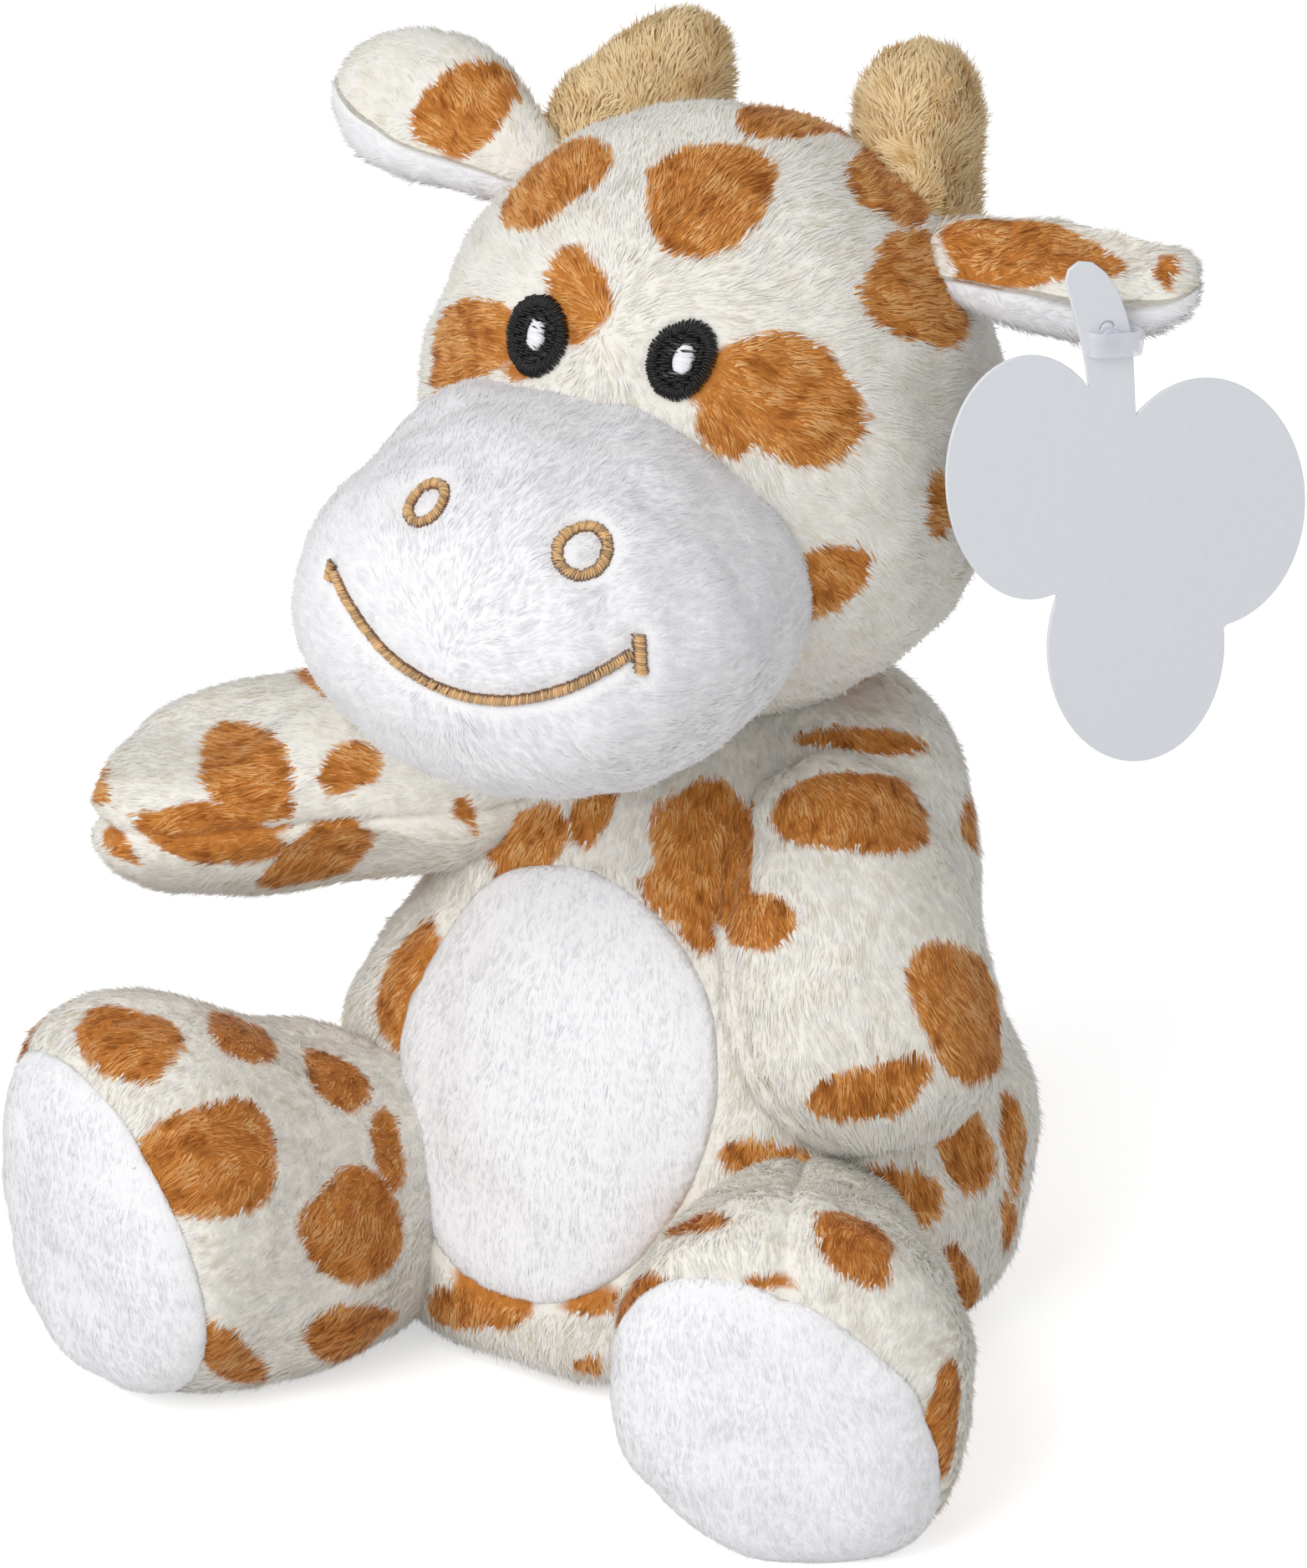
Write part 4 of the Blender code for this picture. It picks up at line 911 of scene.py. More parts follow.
TONE_STREAK_PITCH = 0.0016
TONE_SPREAD = 1.5
STRAY_SHARE = 0.09
STRAY_LIFT = 1.9
SPOT_READING_SHARE = 0.55
SPOT_FRINGE = 0.0009
SPOT_FRINGE_PITCH = 0.0022
SPOT_RIM_DEPTH = 0.0018
SPOT_RIM_DARKENING = 0.26
SPOT_RIM_MIDDLE = 0.35
SPOT_FADE_DEPTH = 0.0006
SPOT_FADE_LIGHTENING = 0.28
SPOT_CONTRAST = 1.2


def scatter(skin, per_square_metre, rng):
    """Return seeded root points, their normals and their closeness to a seam."""
    corners = skin.points[skin.triangles]
    cross = np.cross(corners[:, 1] - corners[:, 0], corners[:, 2] - corners[:, 0])
    areas = np.linalg.norm(cross, axis=1) / 2
    total = areas.cumsum()
    count = int(total[-1] * per_square_metre)
    picks = np.searchsorted(total, rng.random(count) * total[-1])
    side = np.sqrt(rng.random(count))
    other = rng.random(count)
    weights = np.stack([1 - side, side * (1 - other), side * other], axis=1)[:, :, None]
    chosen = skin.triangles[picks]
    roots = (skin.points[chosen] * weights).sum(axis=1)
    normals = unit((skin.normals[chosen] * weights).sum(axis=1))
    seam = (skin.seam[chosen][:, :, None] * weights).sum(axis=1)[:, 0]
    return roots, normals, seam


def clump_numbers(points, cell, seed):
    """Return the number of the clump that each point belongs to."""
    pitch = cell * CLUMP_WARP_PITCH_SHARE
    warp = np.stack([wave_noise(points, pitch, seed + i, 1) for i in range(3)], axis=1)
    cells = np.floor((points + warp * cell * CLUMP_WARP_SHARE) / cell).astype(np.int64)
    _, numbers = np.unique(cells @ np.array(CELL_KEY), return_inverse=True)
    return numbers


def clump_mean(values, numbers):
    """Return the mean of values over each clump, given back to its members."""
    counts = np.bincount(numbers)
    means = [np.bincount(numbers, values[:, i]) / counts for i in range(values.shape[1])]
    return np.stack(means, axis=1)[numbers]


def strand_mesh(name, roots, tips, bends, normals, width, tones, materials):
    """Return a mesh of closed tapered strands, each from its root to its tip."""
    count = len(roots)
    axis = unit(tips - roots)
    side = unit(np.cross(axis, normals))
    rise = np.cross(side, axis)
    half = (width / 2)[:, None]
    ridge = half * 2 * STRAND_RIDGE_SHARE
    rows = []
    rings = [(roots, 1.0)]
    if bends is not None:
        rings.append((bends, BEND_WIDTH_SHARE))
    for centre, size in rings:
        reach = side * half * size
        rows += [centre - reach, centre + reach, centre + rise * ridge * size]
    rows.append(tips)
    corners = len(rows)
    points = np.stack(rows, axis=1).reshape(-1, 3)
    faces = [(0, 1, 2)]
    last = corners - 4
    if bends is not None:
        for a, b in ((0, 2), (2, 1)):
            faces += [(a, b, b + 3), (a, b + 3, a + 3)]
    faces += [(last, last + 2, corners - 1), (last + 2, last + 1, corners - 1)]
    upper = len(faces)
    if bends is not None:
        faces += [(1, 0, 3), (1, 3, 4)]
    faces.append((last, corners - 1, last + 1))
    pattern = np.array(faces)
    triangles = (np.arange(count)[:, None, None] * corners + pattern[None]).reshape(-1, 3)
    mesh = bpy.data.meshes.new(name)
    mesh.vertices.add(len(points))
    mesh.vertices.foreach_set("co", points.astype(np.float32).ravel())
    mesh.loops.add(triangles.size)
    mesh.loops.foreach_set("vertex_index", triangles.astype(np.int32).ravel())
    mesh.polygons.add(len(triangles))
    mesh.polygons.foreach_set("loop_start", np.arange(0, triangles.size, 3, dtype=np.int32))
    mesh.polygons.foreach_set("material_index", np.repeat(tones, len(faces)).astype(np.int32))
    mesh.update(calc_edges=True)
    for material in materials:
        mesh.materials.append(material)
    soft = unit(normals * SKIN_NORMAL_SHARE + rise * (1 - SKIN_NORMAL_SHARE))
    facing = np.repeat(soft[:, None], len(faces) * 3, axis=1)
    facing[:, upper * 3 :] = -rise[:, None]
    mesh.normals_split_custom_set(facing.reshape(-1, 3).tolist())
    return mesh


def grow_pile(skin, name, pile, comb, covers, keep, spots, palette, seed):
    """Grow the pile of a skin and return its objects."""
    rng = np.random.default_rng(pile_settings().seed + seed)
    roots, normals, seam = scatter(skin, pile.density, rng)
    stay = roots[:, 2] > FLOOR_CLEARANCE * 2
    for cover in covers:
        stay &= depth_inside(cover, roots) < COVER_DEPTH
    shorten = np.ones(len(roots))
    if keep is not None:
        kept, share = keep(roots)
        shorten = shorten * share
        stay &= kept
    roots, normals, seam, shorten = roots[stay], normals[stay], seam[stay], shorten[stay]
    count = len(roots)
    flow = comb(roots)
    flow = unit(flow - normals * (flow * normals).sum(axis=1)[:, None])
    across = np.cross(normals, flow)
    numbers = clump_numbers(roots, pile.clump, seed)
    clump_draw = rng.random(numbers.max() + 1)[numbers]
    swirl = wave_noise(roots, SWIRL_PITCH, seed + 11) * SWIRL_WAVE_SHARE
    swirl = swirl + (rng.random(count) - 0.5) * SWIRL_STRAND_SHARE
    swirl = (swirl + (clump_draw - 0.5) * SWIRL_CLUMP_SHARE) * pile.wander
    heading = flow * np.cos(swirl)[:, None] + across * np.sin(swirl)[:, None]
    wave = 1 + LIFT_WAVE_SHARE * wave_noise(roots, LIFT_PITCH, seed + 12)
    lift = pile.lift * (wave + LIFT_STRAND_SHARE * (rng.random(count) - 0.5))
    lift = np.where(rng.random(count) < STRAY_SHARE, lift * STRAY_LIFT, lift)
    lift *= 1 - LIFT_SEAM_SHARE * seam
    length = pile.length * (LENGTH_LEAST + LENGTH_SPREAD * rng.random(count)) * shorten
    length = length * (1 - SEAM_SHORTENING_SHARE * seam)
    lean = heading * np.cos(lift)[:, None] + normals * np.sin(lift)[:, None]
    start = roots - normals * (pile.width * STRAND_SINK_SHARE)
    tips = start + lean * length[:, None]
    gathered = clump_mean(tips, numbers)
    pull = CLUMP_PULL_SHARE * (CLUMP_PULL_LEAST + CLUMP_PULL_SPREAD * rng.random(count))[:, None]
    drawn = (gathered - tips) - normals * ((gathered - tips) * normals).sum(axis=1)[:, None]
    tips = tips + drawn * pull
    bends = None
    if pile.segments > 1:
        curl = wave_noise(roots, CURL_PITCH, seed + 13) * pile.curl
        side = np.cross(lean, normals)
        middle = (start + tips) / 2
        bends = middle + normals * (length * BEND_RISE_SHARE)[:, None]
        bends = bends + side * (curl * length)[:, None]
    tips[:, 2] = np.maximum(tips[:, 2], FLOOR_CLEARANCE / 2)
    tone_value = (
        TONE_CLUMP_SHARE * clump_draw
        + TONE_WAVE_SHARE * (0.5 + 0.5 * wave_noise(roots, TONE_PITCH, seed + 14))
        + TONE_STREAK_SHARE * (0.5 + 0.5 * wave_noise(roots, TONE_STREAK_PITCH, seed + 15))
        + TONE_STRAND_SHARE * rng.random(count)
    )
    tone_value = np.clip(0.5 + (tone_value - 0.5) * TONE_SPREAD, 0, 0.999)
    ground = palette[0]
    tones = np.clip(tone_value * len(ground), 0, len(ground) - 1).astype(int)
    materials = list(ground)
    if spots is not None:
        printed = palette[1]
        seen_at = roots + (tips - roots) * SPOT_READING_SHARE
        depth = spot_depth(spots, seen_at, normals) + SPOT_FRINGE * (rng.random(count) - 0.5)
        depth += SPOT_FRINGE / 2 * wave_noise(roots, SPOT_FRINGE_PITCH, seed + 16)
        inside = depth > 0
        rim = np.exp(-np.maximum(depth, 0) / SPOT_RIM_DEPTH)
        fade = np.exp(-np.maximum(depth, 0) / SPOT_FADE_DEPTH)
        value = 0.5 + (tone_value - 0.5) * SPOT_CONTRAST
        value = value - SPOT_RIM_DARKENING * (rim - SPOT_RIM_MIDDLE)
        value += SPOT_FADE_LIGHTENING * fade
        spot_tones = np.clip(value * len(printed), 0, len(printed) - 1).astype(int)
        tones = np.where(inside, spot_tones + len(ground), tones)
        materials += list(printed)
    widths = pile.width * (WIDTH_LEAST + WIDTH_SPREAD * rng.random(count)) * np.sqrt(shorten)
    objects = []
    parts = max(1, math.ceil(count / STRANDS_A_PIECE))
    order = rng.permutation(count)
    for part in range(parts):
        chosen = order[part::parts]
        title = f"{name}_{part + 1}" if parts > 1 else name
        mesh = strand_mesh(
            title, start[chosen], tips[chosen], None if bends is None else bends[chosen],
            normals[chosen], widths[chosen], tones[chosen], materials,
        )
        objects.append(put(title, mesh))
    return objects


def away_from(point):
    """Return a comb that lays the pile away from a point."""
    centre = np.array(point)
    return lambda roots: roots - centre


def along(direction):
    """Return a comb that lays the pile along a direction."""
    heading = np.array(Vector(direction).normalized())
    return lambda roots: np.tile(heading, (len(roots), 1))


def short_pile(length_share=1.0, width_share=1.0, density_share=1.0, wander=1.0, lift_share=1.0):
    """Return the pile of the body, or a finer cut of it."""
    settings = pile_settings()
    return Pile(
        length=settings.length * length_share,
        width=settings.width * width_share,
        density=settings.per_square_mm * SQUARE_MM_A_SQUARE_METRE * density_share,
        lift=settings.lift * lift_share,
        wander=wander * SHORT_PILE_WANDER,
        segments=1,
        curl=0.0,
        clump=SHORT_PILE_CLUMP,
    )


def smooth_pile():
    """Return the short flat pile of the belly patch and the soles."""
    return short_pile(
        length_share=0.7, width_share=0.85, density_share=1.15, wander=0.7, lift_share=0.6
    )


def long_pile():
    """Return the longer curling pile of horns and tuft."""
    settings = pile_settings()
    density_share = SQUARE_MM_A_SQUARE_METRE * LONG_PILE_DENSITY_SHARE
    return Pile(
        length=settings.long_length,
        width=settings.width * LONG_PILE_WIDTH_SHARE,
        density=settings.per_square_mm * density_share,
        lift=settings.lift * LONG_PILE_LIFT_SHARE,
        wander=LONG_PILE_WANDER,
        segments=2,
        curl=LONG_PILE_CURL,
        clump=LONG_PILE_CLUMP,
    )


# Materials

PILE_TONES = {
    "cream": ("cream_shade", "cream", "cream", 4),
    "spot": ("spot_dark", "spot", "spot_light", 8),
    "white": ("white_shade", "white", "white", 3),
    "tan": ("tan_shade", "tan", "tan", 5),
}
SPOT_PRINT_EDGE = 0.0008


def plain_material(name, colour, roughness, sheen=0.0, specular=0.3):
    """Return a material whose values are all set on the shader."""
    material = bpy.data.materials.new(name)
    material.use_nodes = True
    shader = material.node_tree.nodes["Principled BSDF"]
    shader.inputs["Base Color"].default_value = (*colour, 1)
    shader.inputs["Roughness"].default_value = roughness
    shader.inputs["Specular IOR Level"].default_value = specular
    shader.inputs["Sheen Weight"].default_value = sheen
    shader.inputs["Sheen Roughness"].default_value = 0.45
    return material


def node_of(tree, kind, **settings):
    """Add a node of a kind to a tree, with its settings."""
    node = tree.nodes.new(f"ShaderNode{kind}")
    for name, value in settings.items():
        setattr(node, name, value)
    return node


def mixed(first, second, share):
    """Return a colour between two others."""
    return tuple(a + (b - a) * share for a, b in zip(first, second))


def tone_set(name, stops, count):
    """Return pile materials that run through colours from dark to light."""
    materials = []
    for index in range(count):
        place = index / (count - 1) * (len(stops) - 1)
        low = min(int(place), len(stops) - 2)
        colour = mixed(stops[low], stops[low + 1], place - low)
        material = plain_material(
            f"{name}_{index + 1}", colour, roughness=0.88, sheen=0.18, specular=0.2
        )
        materials.append(material)
    return materials


def cached(maker):
    """Return a maker that makes its thing once."""
    made = {}

    def give(*key):
        if key not in made:
            made[key] = maker(*key)
        return made[key]

    return give


@cached
def pile_tones(kind):
    """Return the tones of one kind of pile."""
    *names, count = PILE_TONES[kind]
    return tone_set(f"{kind}_pile", [getattr(colours(), name) for name in names], count)


@cached
def mottle_group():
    """Return the node group that mixes two colours in soft streaky patches."""
    group = bpy.data.node_groups.new("soft_mottle", "ShaderNodeTree")
    for name, way, kind in (
        ("Light", "INPUT", "Color"), ("Dark", "INPUT", "Color"),
        ("Scale", "INPUT", "Float"), ("Contrast", "INPUT", "Float"),
        ("Colour", "OUTPUT", "Color"), ("Height", "OUTPUT", "Float"),
    ):
        group.interface.new_socket(name, in_out=way, socket_type=f"NodeSocket{kind}")
    link = group.links.new
    given = group.nodes.new("NodeGroupInput")
    out = group.nodes.new("NodeGroupOutput")
    place = node_of(group, "TexCoord")
    noise = node_of(group, "TexNoise")
    noise.inputs["Detail"].default_value = 4
    link(place.outputs["Object"], noise.inputs["Vector"])
    link(given.outputs["Scale"], noise.inputs["Scale"])
    spread = node_of(group, "Math", operation="MULTIPLY")
    link(noise.outputs["Fac"], spread.inputs[0])
    link(given.outputs["Contrast"], spread.inputs[1])
    mix = node_of(group, "Mix", data_type="RGBA")
    link(spread.outputs[0], mix.inputs["Factor"])
    link(given.outputs["Light"], mix.inputs["A"])
    link(given.outputs["Dark"], mix.inputs["B"])
    link(mix.outputs["Result"], out.inputs["Colour"])
    link(noise.outputs["Fac"], out.inputs["Height"])
    return group


def mottled(material, light, dark, scale, contrast=1.0):
    """Place the mottle group in a material and return its node."""
    node = node_of(material.node_tree, "Group", node_tree=mottle_group())
    node.inputs["Light"].default_value = (*light, 1)
    node.inputs["Dark"].default_value = (*dark, 1)
    node.inputs["Scale"].default_value = scale
    node.inputs["Contrast"].default_value = contrast
    return node


def bump_from(material, height, strength, distance):
    """Feed a height into the shader's normal."""
    tree = material.node_tree
    shader = tree.nodes["Principled BSDF"]
    bump = node_of(tree, "Bump")
    bump.inputs["Strength"].default_value = strength
    bump.inputs["Distance"].default_value = distance
    tree.links.new(height, bump.inputs["Height"])
    tree.links.new(bump.outputs["Normal"], shader.inputs["Normal"])


def backing_material(name, light, dark, spot=None):
    """Return the knitted backing of a plush, printed with spots where the skin says so."""
    material = plain_material(name, light, roughness=0.95, sheen=0.1, specular=0.15)
    tree = material.node_tree
    shader = tree.nodes["Principled BSDF"]
    ground = mottled(material, light, dark, scale=1300)
    colour = ground.outputs["Colour"]
    if spot is not None:
        printed = mottled(material, *spot, scale=900)
        mask = node_of(tree, "Attribute", attribute_name="spot")
        mix = node_of(tree, "Mix", data_type="RGBA")
        tree.links.new(mask.outputs["Fac"], mix.inputs["Factor"])
        tree.links.new(colour, mix.inputs["A"])
        tree.links.new(printed.outputs["Colour"], mix.inputs["B"])
        colour = mix.outputs["Result"]
    tree.links.new(colour, shader.inputs["Base Color"])
    bump_from(material, ground.outputs["Height"], strength=0.6, distance=0.0004)
    return material


@cached
def backing(kind):
    """Return the backing of one kind of plush."""
    colour = colours()
    if kind == "spotted":
        return backing_material(
            "spotted_backing", colour.cream, colour.cream_shade, (colour.spot, colour.spot_dark)
        )
    if kind == "tan":
        return backing_material("tan_backing", colour.tan, colour.tan_shade)
    return backing_material("white_backing", colour.white, colour.white_shade)


def dress(skin, kind, body, nodes, spots=None):
    """Give a skin its backing, hide the nodes that it stands for, and pass it to attach with its
    body.
    """
    obj = skin.object
    if spots is not None:
        depth = spot_depth(spots, skin.points, skin.normals)
        share = np.clip(depth / SPOT_PRINT_EDGE + 0.5, 0, 1).astype(np.float32)
        obj.data.attributes.new("spot", "FLOAT", "POINT").data.foreach_set("value", share)
    obj.data.materials.clear()
    obj.data.materials.append(backing(kind))
    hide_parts(*nodes)
    attach([obj], body)


# Bends: the joint, and how far from it the bend starts and ends
BLENDS = {
    "right_arm": ("right_arm_lift", 0.0, 0.016),
    "left_arm": ("left_arm_lift", 0.0, 0.016),
    "right_leg": ("right_leg_turn", 0.002, 0.022),
    "left_leg": ("left_leg_turn", 0.002, 0.022),
    "right_ear": ("right_ear_flap", 0.0, 0.008),
    "left_ear": ("left_ear_flap", 0.0, 0.008),
    "tail": ("tail_swing", 0.0, 0.008),
}


def attach(objects, body):
    """Make pieces move with a body; for a body listed in BLENDS, only set the pieces' placing into
    their points.
    """
    for obj in objects:
        if body in BLENDS:
            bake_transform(obj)
        else:
            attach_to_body(obj, body)


def add_pile(skin, kind, body, pile, comb, seed, covers=(), keep=None, spots=None):
    """Grow a skin's pile, slot its tones and pass it to attach with its body."""
    kinds = ("cream", "spot") if kind == "spotted" else (kind,)
    palette = [pile_tones(tone) for tone in kinds]
    name = f"{skin.name.replace('_skin', '')}_pile"
    objects = grow_pile(skin, name, pile, comb, covers, keep, spots, palette, seed)
    attach(objects, body)


# Embroidery

STITCH_RADIUS = 0.00019
STITCH_PITCH = 0.00032
STITCH_SIDES = 6
STITCH_PLACE_SHARES = (0.0, 0.12, 0.5, 0.88, 1.0)
STITCH_RISE_SHARES = (-0.9, 0.45, 1.0, 0.45, -0.9)
STITCH_RADIUS_SHARES = (0.6, 0.95, 1.0, 0.95, 0.6)
STITCH_SLANT = 0.00035
STITCH_ARCH = 0.00050
FACE_CAST_Y = -0.15
THREAD_DIMPLE = 0.0007
THREAD_DIMPLE_WIDTH = 0.0016
STITCH_ARCH_LEAST = 0.9
STITCH_ARCH_SPREAD = 0.2
ROW_BREAK_START = 0.35
ROW_BREAK_STAGGER = 0.5
TICK_LEAN_SHARE = 0.25
TICK_LIFT = 0.0001
UNDER_THREAD_LIFT = 0.0001
TOP_THREAD_LIFT = 0.0004
UNDER_ARCH_SHARE = 0.6
MOUTH_CLEAR = 0.00085
MOUTH_FADE = 0.0022
SHORTEST_SHARE = 0.45

EYE_PLACES = {"right": (-0.0093, 0.1436), "left": (0.0112, 0.1436)}
EYE_WIDTH_SHARES = {"right": 1.06, "left": 0.94}
EYE_BORDER_SHARE = 0.40
EYE_RAGGEDNESS = 0.30
EYE_FILL_INSET_SHARE = 0.6
EYE_FILL_LENGTH = 0.0021
# Width of the brown under layer: what shows past the gold is painted shade along the sunk edges,
# and partly a real under-thread
UNDER_THREAD_EDGE_SHADE_SHARE = 1.22
STITCH_RAGGEDNESS = 0.3
GLINT_WIDTH = 0.0026
GLINT_HEIGHT = 0.0033
GLINT_SHIFT = 0.0005
GLINT_PITCH = 0.00021
GLINT_SLOPE = -0.15
EYE_ARCH = 0.0005
EYE_LIFT = 0.0007
GLINT_LIFT = 0.0014
EYE_DIMPLE_SHARE = 0.36
EYE_DIMPLE_WIDTH = 0.0030
EYE_FADE = 0.004
NOSTRIL_PLACES = {
    "right": Vector((-0.0080, -0.0575, 0.1306)),
    "left": Vector((0.0137, -0.0590, 0.1299)),
}
NOSTRIL_SHARES = {"right": 0.86, "left": 1.0}
NOSTRIL_REACH = 0.0060
SMILE_CENTRE_X = 0.0013
SMILE_CORNER_Z = 0.1192
SMILE_TILT = -0.0026
SMILE_STEPS = 40
TICK_LENGTHS = {-1: 0.0020, 1: 0.0048}


def face_projector(x=0.0, z=0.0):
    """Return a way from flat face points to rays that run back along +Y."""
    return lambda u, v: (Vector((x + u, FACE_CAST_Y, z + v)), Vector((0, 1, 0)))


def nostril_projector(place):
    """Return a way from flat points to rays square to the slope of the nose."""
    placing = Matrix.Translation(place) @ Matrix.Rotation(-NOSTRIL_TILT, 4, "X")
    direction = (placing.to_3x3() @ Vector((0, 1, 0))).normalized()
    return lambda u, v: (placing @ Vector((u, -3 * NOSTRIL_REACH, v)), direction)


def laid_threads(name, tree, projector, pairs, lift, arch, materials, seed):
    """Return an object of stitches, each an arched thread laid between two flat points."""
    rng = np.random.default_rng(seed)
    rows = []
    ups = []
    for (u0, v0), (u1, v1) in pairs:
        height = arch * (STITCH_ARCH_LEAST + STITCH_ARCH_SPREAD * rng.random())
        row = []
        for place, rise in zip(STITCH_PLACE_SHARES, STITCH_RISE_SHARES):
            origin, direction = projector(u0 + (u1 - u0) * place, v0 + (v1 - v0) * place)
            hit, normal, _, _ = tree.ray_cast(origin, direction)
            if hit is None:
                raise RuntimeError(f"a stitch of {name} misses the skin")
            row.append(hit + normal * (lift + height * rise))
        rows.append(row)
        ups.append(normal)
    centres = np.array(rows)
    ups = np.array(ups)
    count, steps, _ = centres.shape
    ahead = np.empty_like(centres)
    ahead[:, 1:-1] = centres[:, 2:] - centres[:, :-2]
    ahead[:, 0] = centres[:, 1] - centres[:, 0]
    ahead[:, -1] = centres[:, -1] - centres[:, -2]
    ahead = unit(ahead)
    side = unit(np.cross(ahead, ups[:, None, :]))
    rise = np.cross(side, ahead)
    points = []
    angles = np.arange(STITCH_SIDES) * 2 * math.pi / STITCH_SIDES
    radii = STITCH_RADIUS * np.array(STITCH_RADIUS_SHARES)
    for angle in angles:
        spoke = side * math.cos(angle) + rise * math.sin(angle)
        points.append(centres + spoke * radii[None, :, None])
    rings = np.stack(points, axis=2).reshape(count, -1, 3)
    everything = np.concatenate([rings, centres[:, :1], centres[:, -1:]], axis=1)
    corners = everything.shape[1]
    faces = []
    tip = corners - 2
    for step in range(steps - 1):
        for k in range(STITCH_SIDES):
            a = step * STITCH_SIDES + k
            b = step * STITCH_SIDES + (k + 1) % STITCH_SIDES
            faces.append((a, b, b + STITCH_SIDES, a + STITCH_SIDES))
    for k in range(STITCH_SIDES):
        following = (k + 1) % STITCH_SIDES
        end = (steps - 1) * STITCH_SIDES
        faces.append((tip, following, k))
        faces.append((tip + 1, end + k, end + following))
    mesh = bpy.data.meshes.new(name)
    all_faces = []
    for index in range(count):
        all_faces += [tuple(corner + index * corners for corner in face) for face in faces]
    mesh.from_pydata(everything.reshape(-1, 3).tolist(), [], all_faces)
    mesh.shade_smooth()
    for material in materials:
        mesh.materials.append(material)
    tones = np.repeat(rng.integers(0, len(materials), count), len(faces))
    mesh.polygons.foreach_set("material_index", tones.astype(np.int32))
    face_outwards(mesh)
    return put(name, mesh)


def column_stitches(line, width, closed, ragged):
    """Return the end points of satin stitches of uneven length laid across a flat line."""
    rng = np.random.default_rng(len(line))
    points = [Vector(point) for point in line]
    if closed:
        points.append(points[0])
    lengths = [0.0]
    for before, after in zip(points, points[1:]):
        lengths.append(lengths[-1] + (after - before).length)
    count = int(lengths[-1] / STITCH_PITCH)
    places = np.arange(count + (not closed)) * lengths[-1] / count
    us = np.interp(places, lengths, [point.x for point in points])
    vs = np.interp(places, lengths, [point.y for point in points])
    pairs = []
    for place, u, v in zip(places, us, vs):
        index = min(np.searchsorted(lengths, place, side="right"), len(points) - 1)
        heading = (points[index] - points[index - 1]).normalized()
        square = Vector((-heading.y, heading.x))
        middle = Vector((u, v))
        reach_before, reach_after = width / 2 * (1 + ragged * (rng.random(2) - 0.5))
        start = middle - square * reach_before - heading * STITCH_SLANT / 2
        end = middle + square * reach_after + heading * STITCH_SLANT / 2
        pairs.append((tuple(start), tuple(end)))
    return pairs


def oval_line(half_width, half_height, steps=48):
    """Return points on an oval about the origin."""
    turns = [2 * math.pi * step / steps for step in range(steps)]
    return [(half_width * math.cos(turn), half_height * math.sin(turn)) for turn in turns]


def oval_rows(half_width, half_height, slope=0.0, longest=1.0, pitch=STITCH_PITCH):
    """Return level rows of stitches that fill an oval, broken at staggered places."""
    rows = []
    count = int(2 * half_height / pitch)
    for index in range(1, count):
        v = -half_height + 2 * half_height * index / count
        reach = half_width * math.sqrt(1 - (v / half_height) ** 2)
        if reach <= STITCH_PITCH:
            continue
        breaks = [-reach]
        place = -half_width + longest * (ROW_BREAK_START + ROW_BREAK_STAGGER * (index % 3))
        while place < reach:
            if place > -reach + STITCH_PITCH:
                breaks.append(place)
            place += longest
        breaks.append(reach)
        for start, end in zip(breaks, breaks[1:]):
            rows.append(((start, v + slope * start), (end, v + slope * end)))
    return rows


def smile_line():
    """Return the flat points of the smile, from corner to corner."""
    size = sizes()
    points = []
    for step in range(SMILE_STEPS + 1):
        share = 2 * step / SMILE_STEPS - 1
        x = SMILE_CENTRE_X + size.smile_width / 2 * share
        sag = size.smile_depth * (1 - share * share)
        points.append((x, SMILE_CORNER_Z + SMILE_TILT * share - sag))
    return points


def tick_line(side):
    """Return the flat points of the short stroke at one end of the smile."""
    x = SMILE_CENTRE_X + side * (sizes().smile_width / 2 + sizes().thread_column / 2)
    half = TICK_LENGTHS[side] / 2
    z = SMILE_CORNER_Z + SMILE_TILT * side
    return [(x + side * half * TICK_LEAN_SHARE, z - half), (x, z + half)]


def nostril_line(side_name):
    """Return the middle line of a nostril ring."""
    size = sizes()
    half_width = (size.nostril_width - size.thread_column) / 2
    half_height = (size.nostril_height - size.thread_column) / 2
    share = NOSTRIL_SHARES[side_name]
    return oval_line(half_width * share, half_height * share)


def line_on(tree, projector, line):
    """Return the points where a flat line falls on a skin."""
    return np.array([tree.ray_cast(*projector(u, v))[0] for u, v in line])


def distance_to(line, points):
    """Return the distance from each point to the nearest point of a line."""
    best = np.full(len(points), 1.0)
    for place in line:
        best = np.minimum(best, np.linalg.norm(points - place, axis=1))
    return best


def denser(line, times=4, closed=False):
    """Return a flat line with points added between its own."""
    points = list(line) + ([line[0]] if closed else [])
    found = []
    for (u0, v0), (u1, v1) in zip(points, points[1:]):
        for step in range(times):
            share = step / times
            found.append((u0 + (u1 - u0) * share, v0 + (v1 - v0) * share))
    found.append(points[-1])
    return found


def mouth_lines(tree):
    """Return the sewn lines of nostrils and smile where they lie on the muzzle."""
    lines = [line_on(tree, face_projector(), denser(smile_line()))]
    for side_name, side in SIDES.items():
        lines.append(line_on(tree, face_projector(), denser(tick_line(side), 16)))
        projector = nostril_projector(NOSTRIL_PLACES[side_name])
        lines.append(line_on(tree, projector, denser(nostril_line(side_name), closed=True)))
    return np.concatenate(lines)


def thread_tones(name, colour, spread, roughness=0.45, sheen=0.3, specular=0.5):
    """Return three close tones of one thread."""
    tones = []
    for index, share in enumerate((1 - spread, 1.0, 1 + spread)):
        tone = tuple(min(value * share, 1) for value in colour)
        tones.append(plain_material(f"{name}_{index + 1}", tone, roughness, sheen, specular))
    return tones


def place_stitches(obj, body, nodes):
    """Hide the solids that the stitches stand for and make the stitches move with a body."""
    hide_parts(*nodes)
    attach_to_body(obj, body)


# Operators

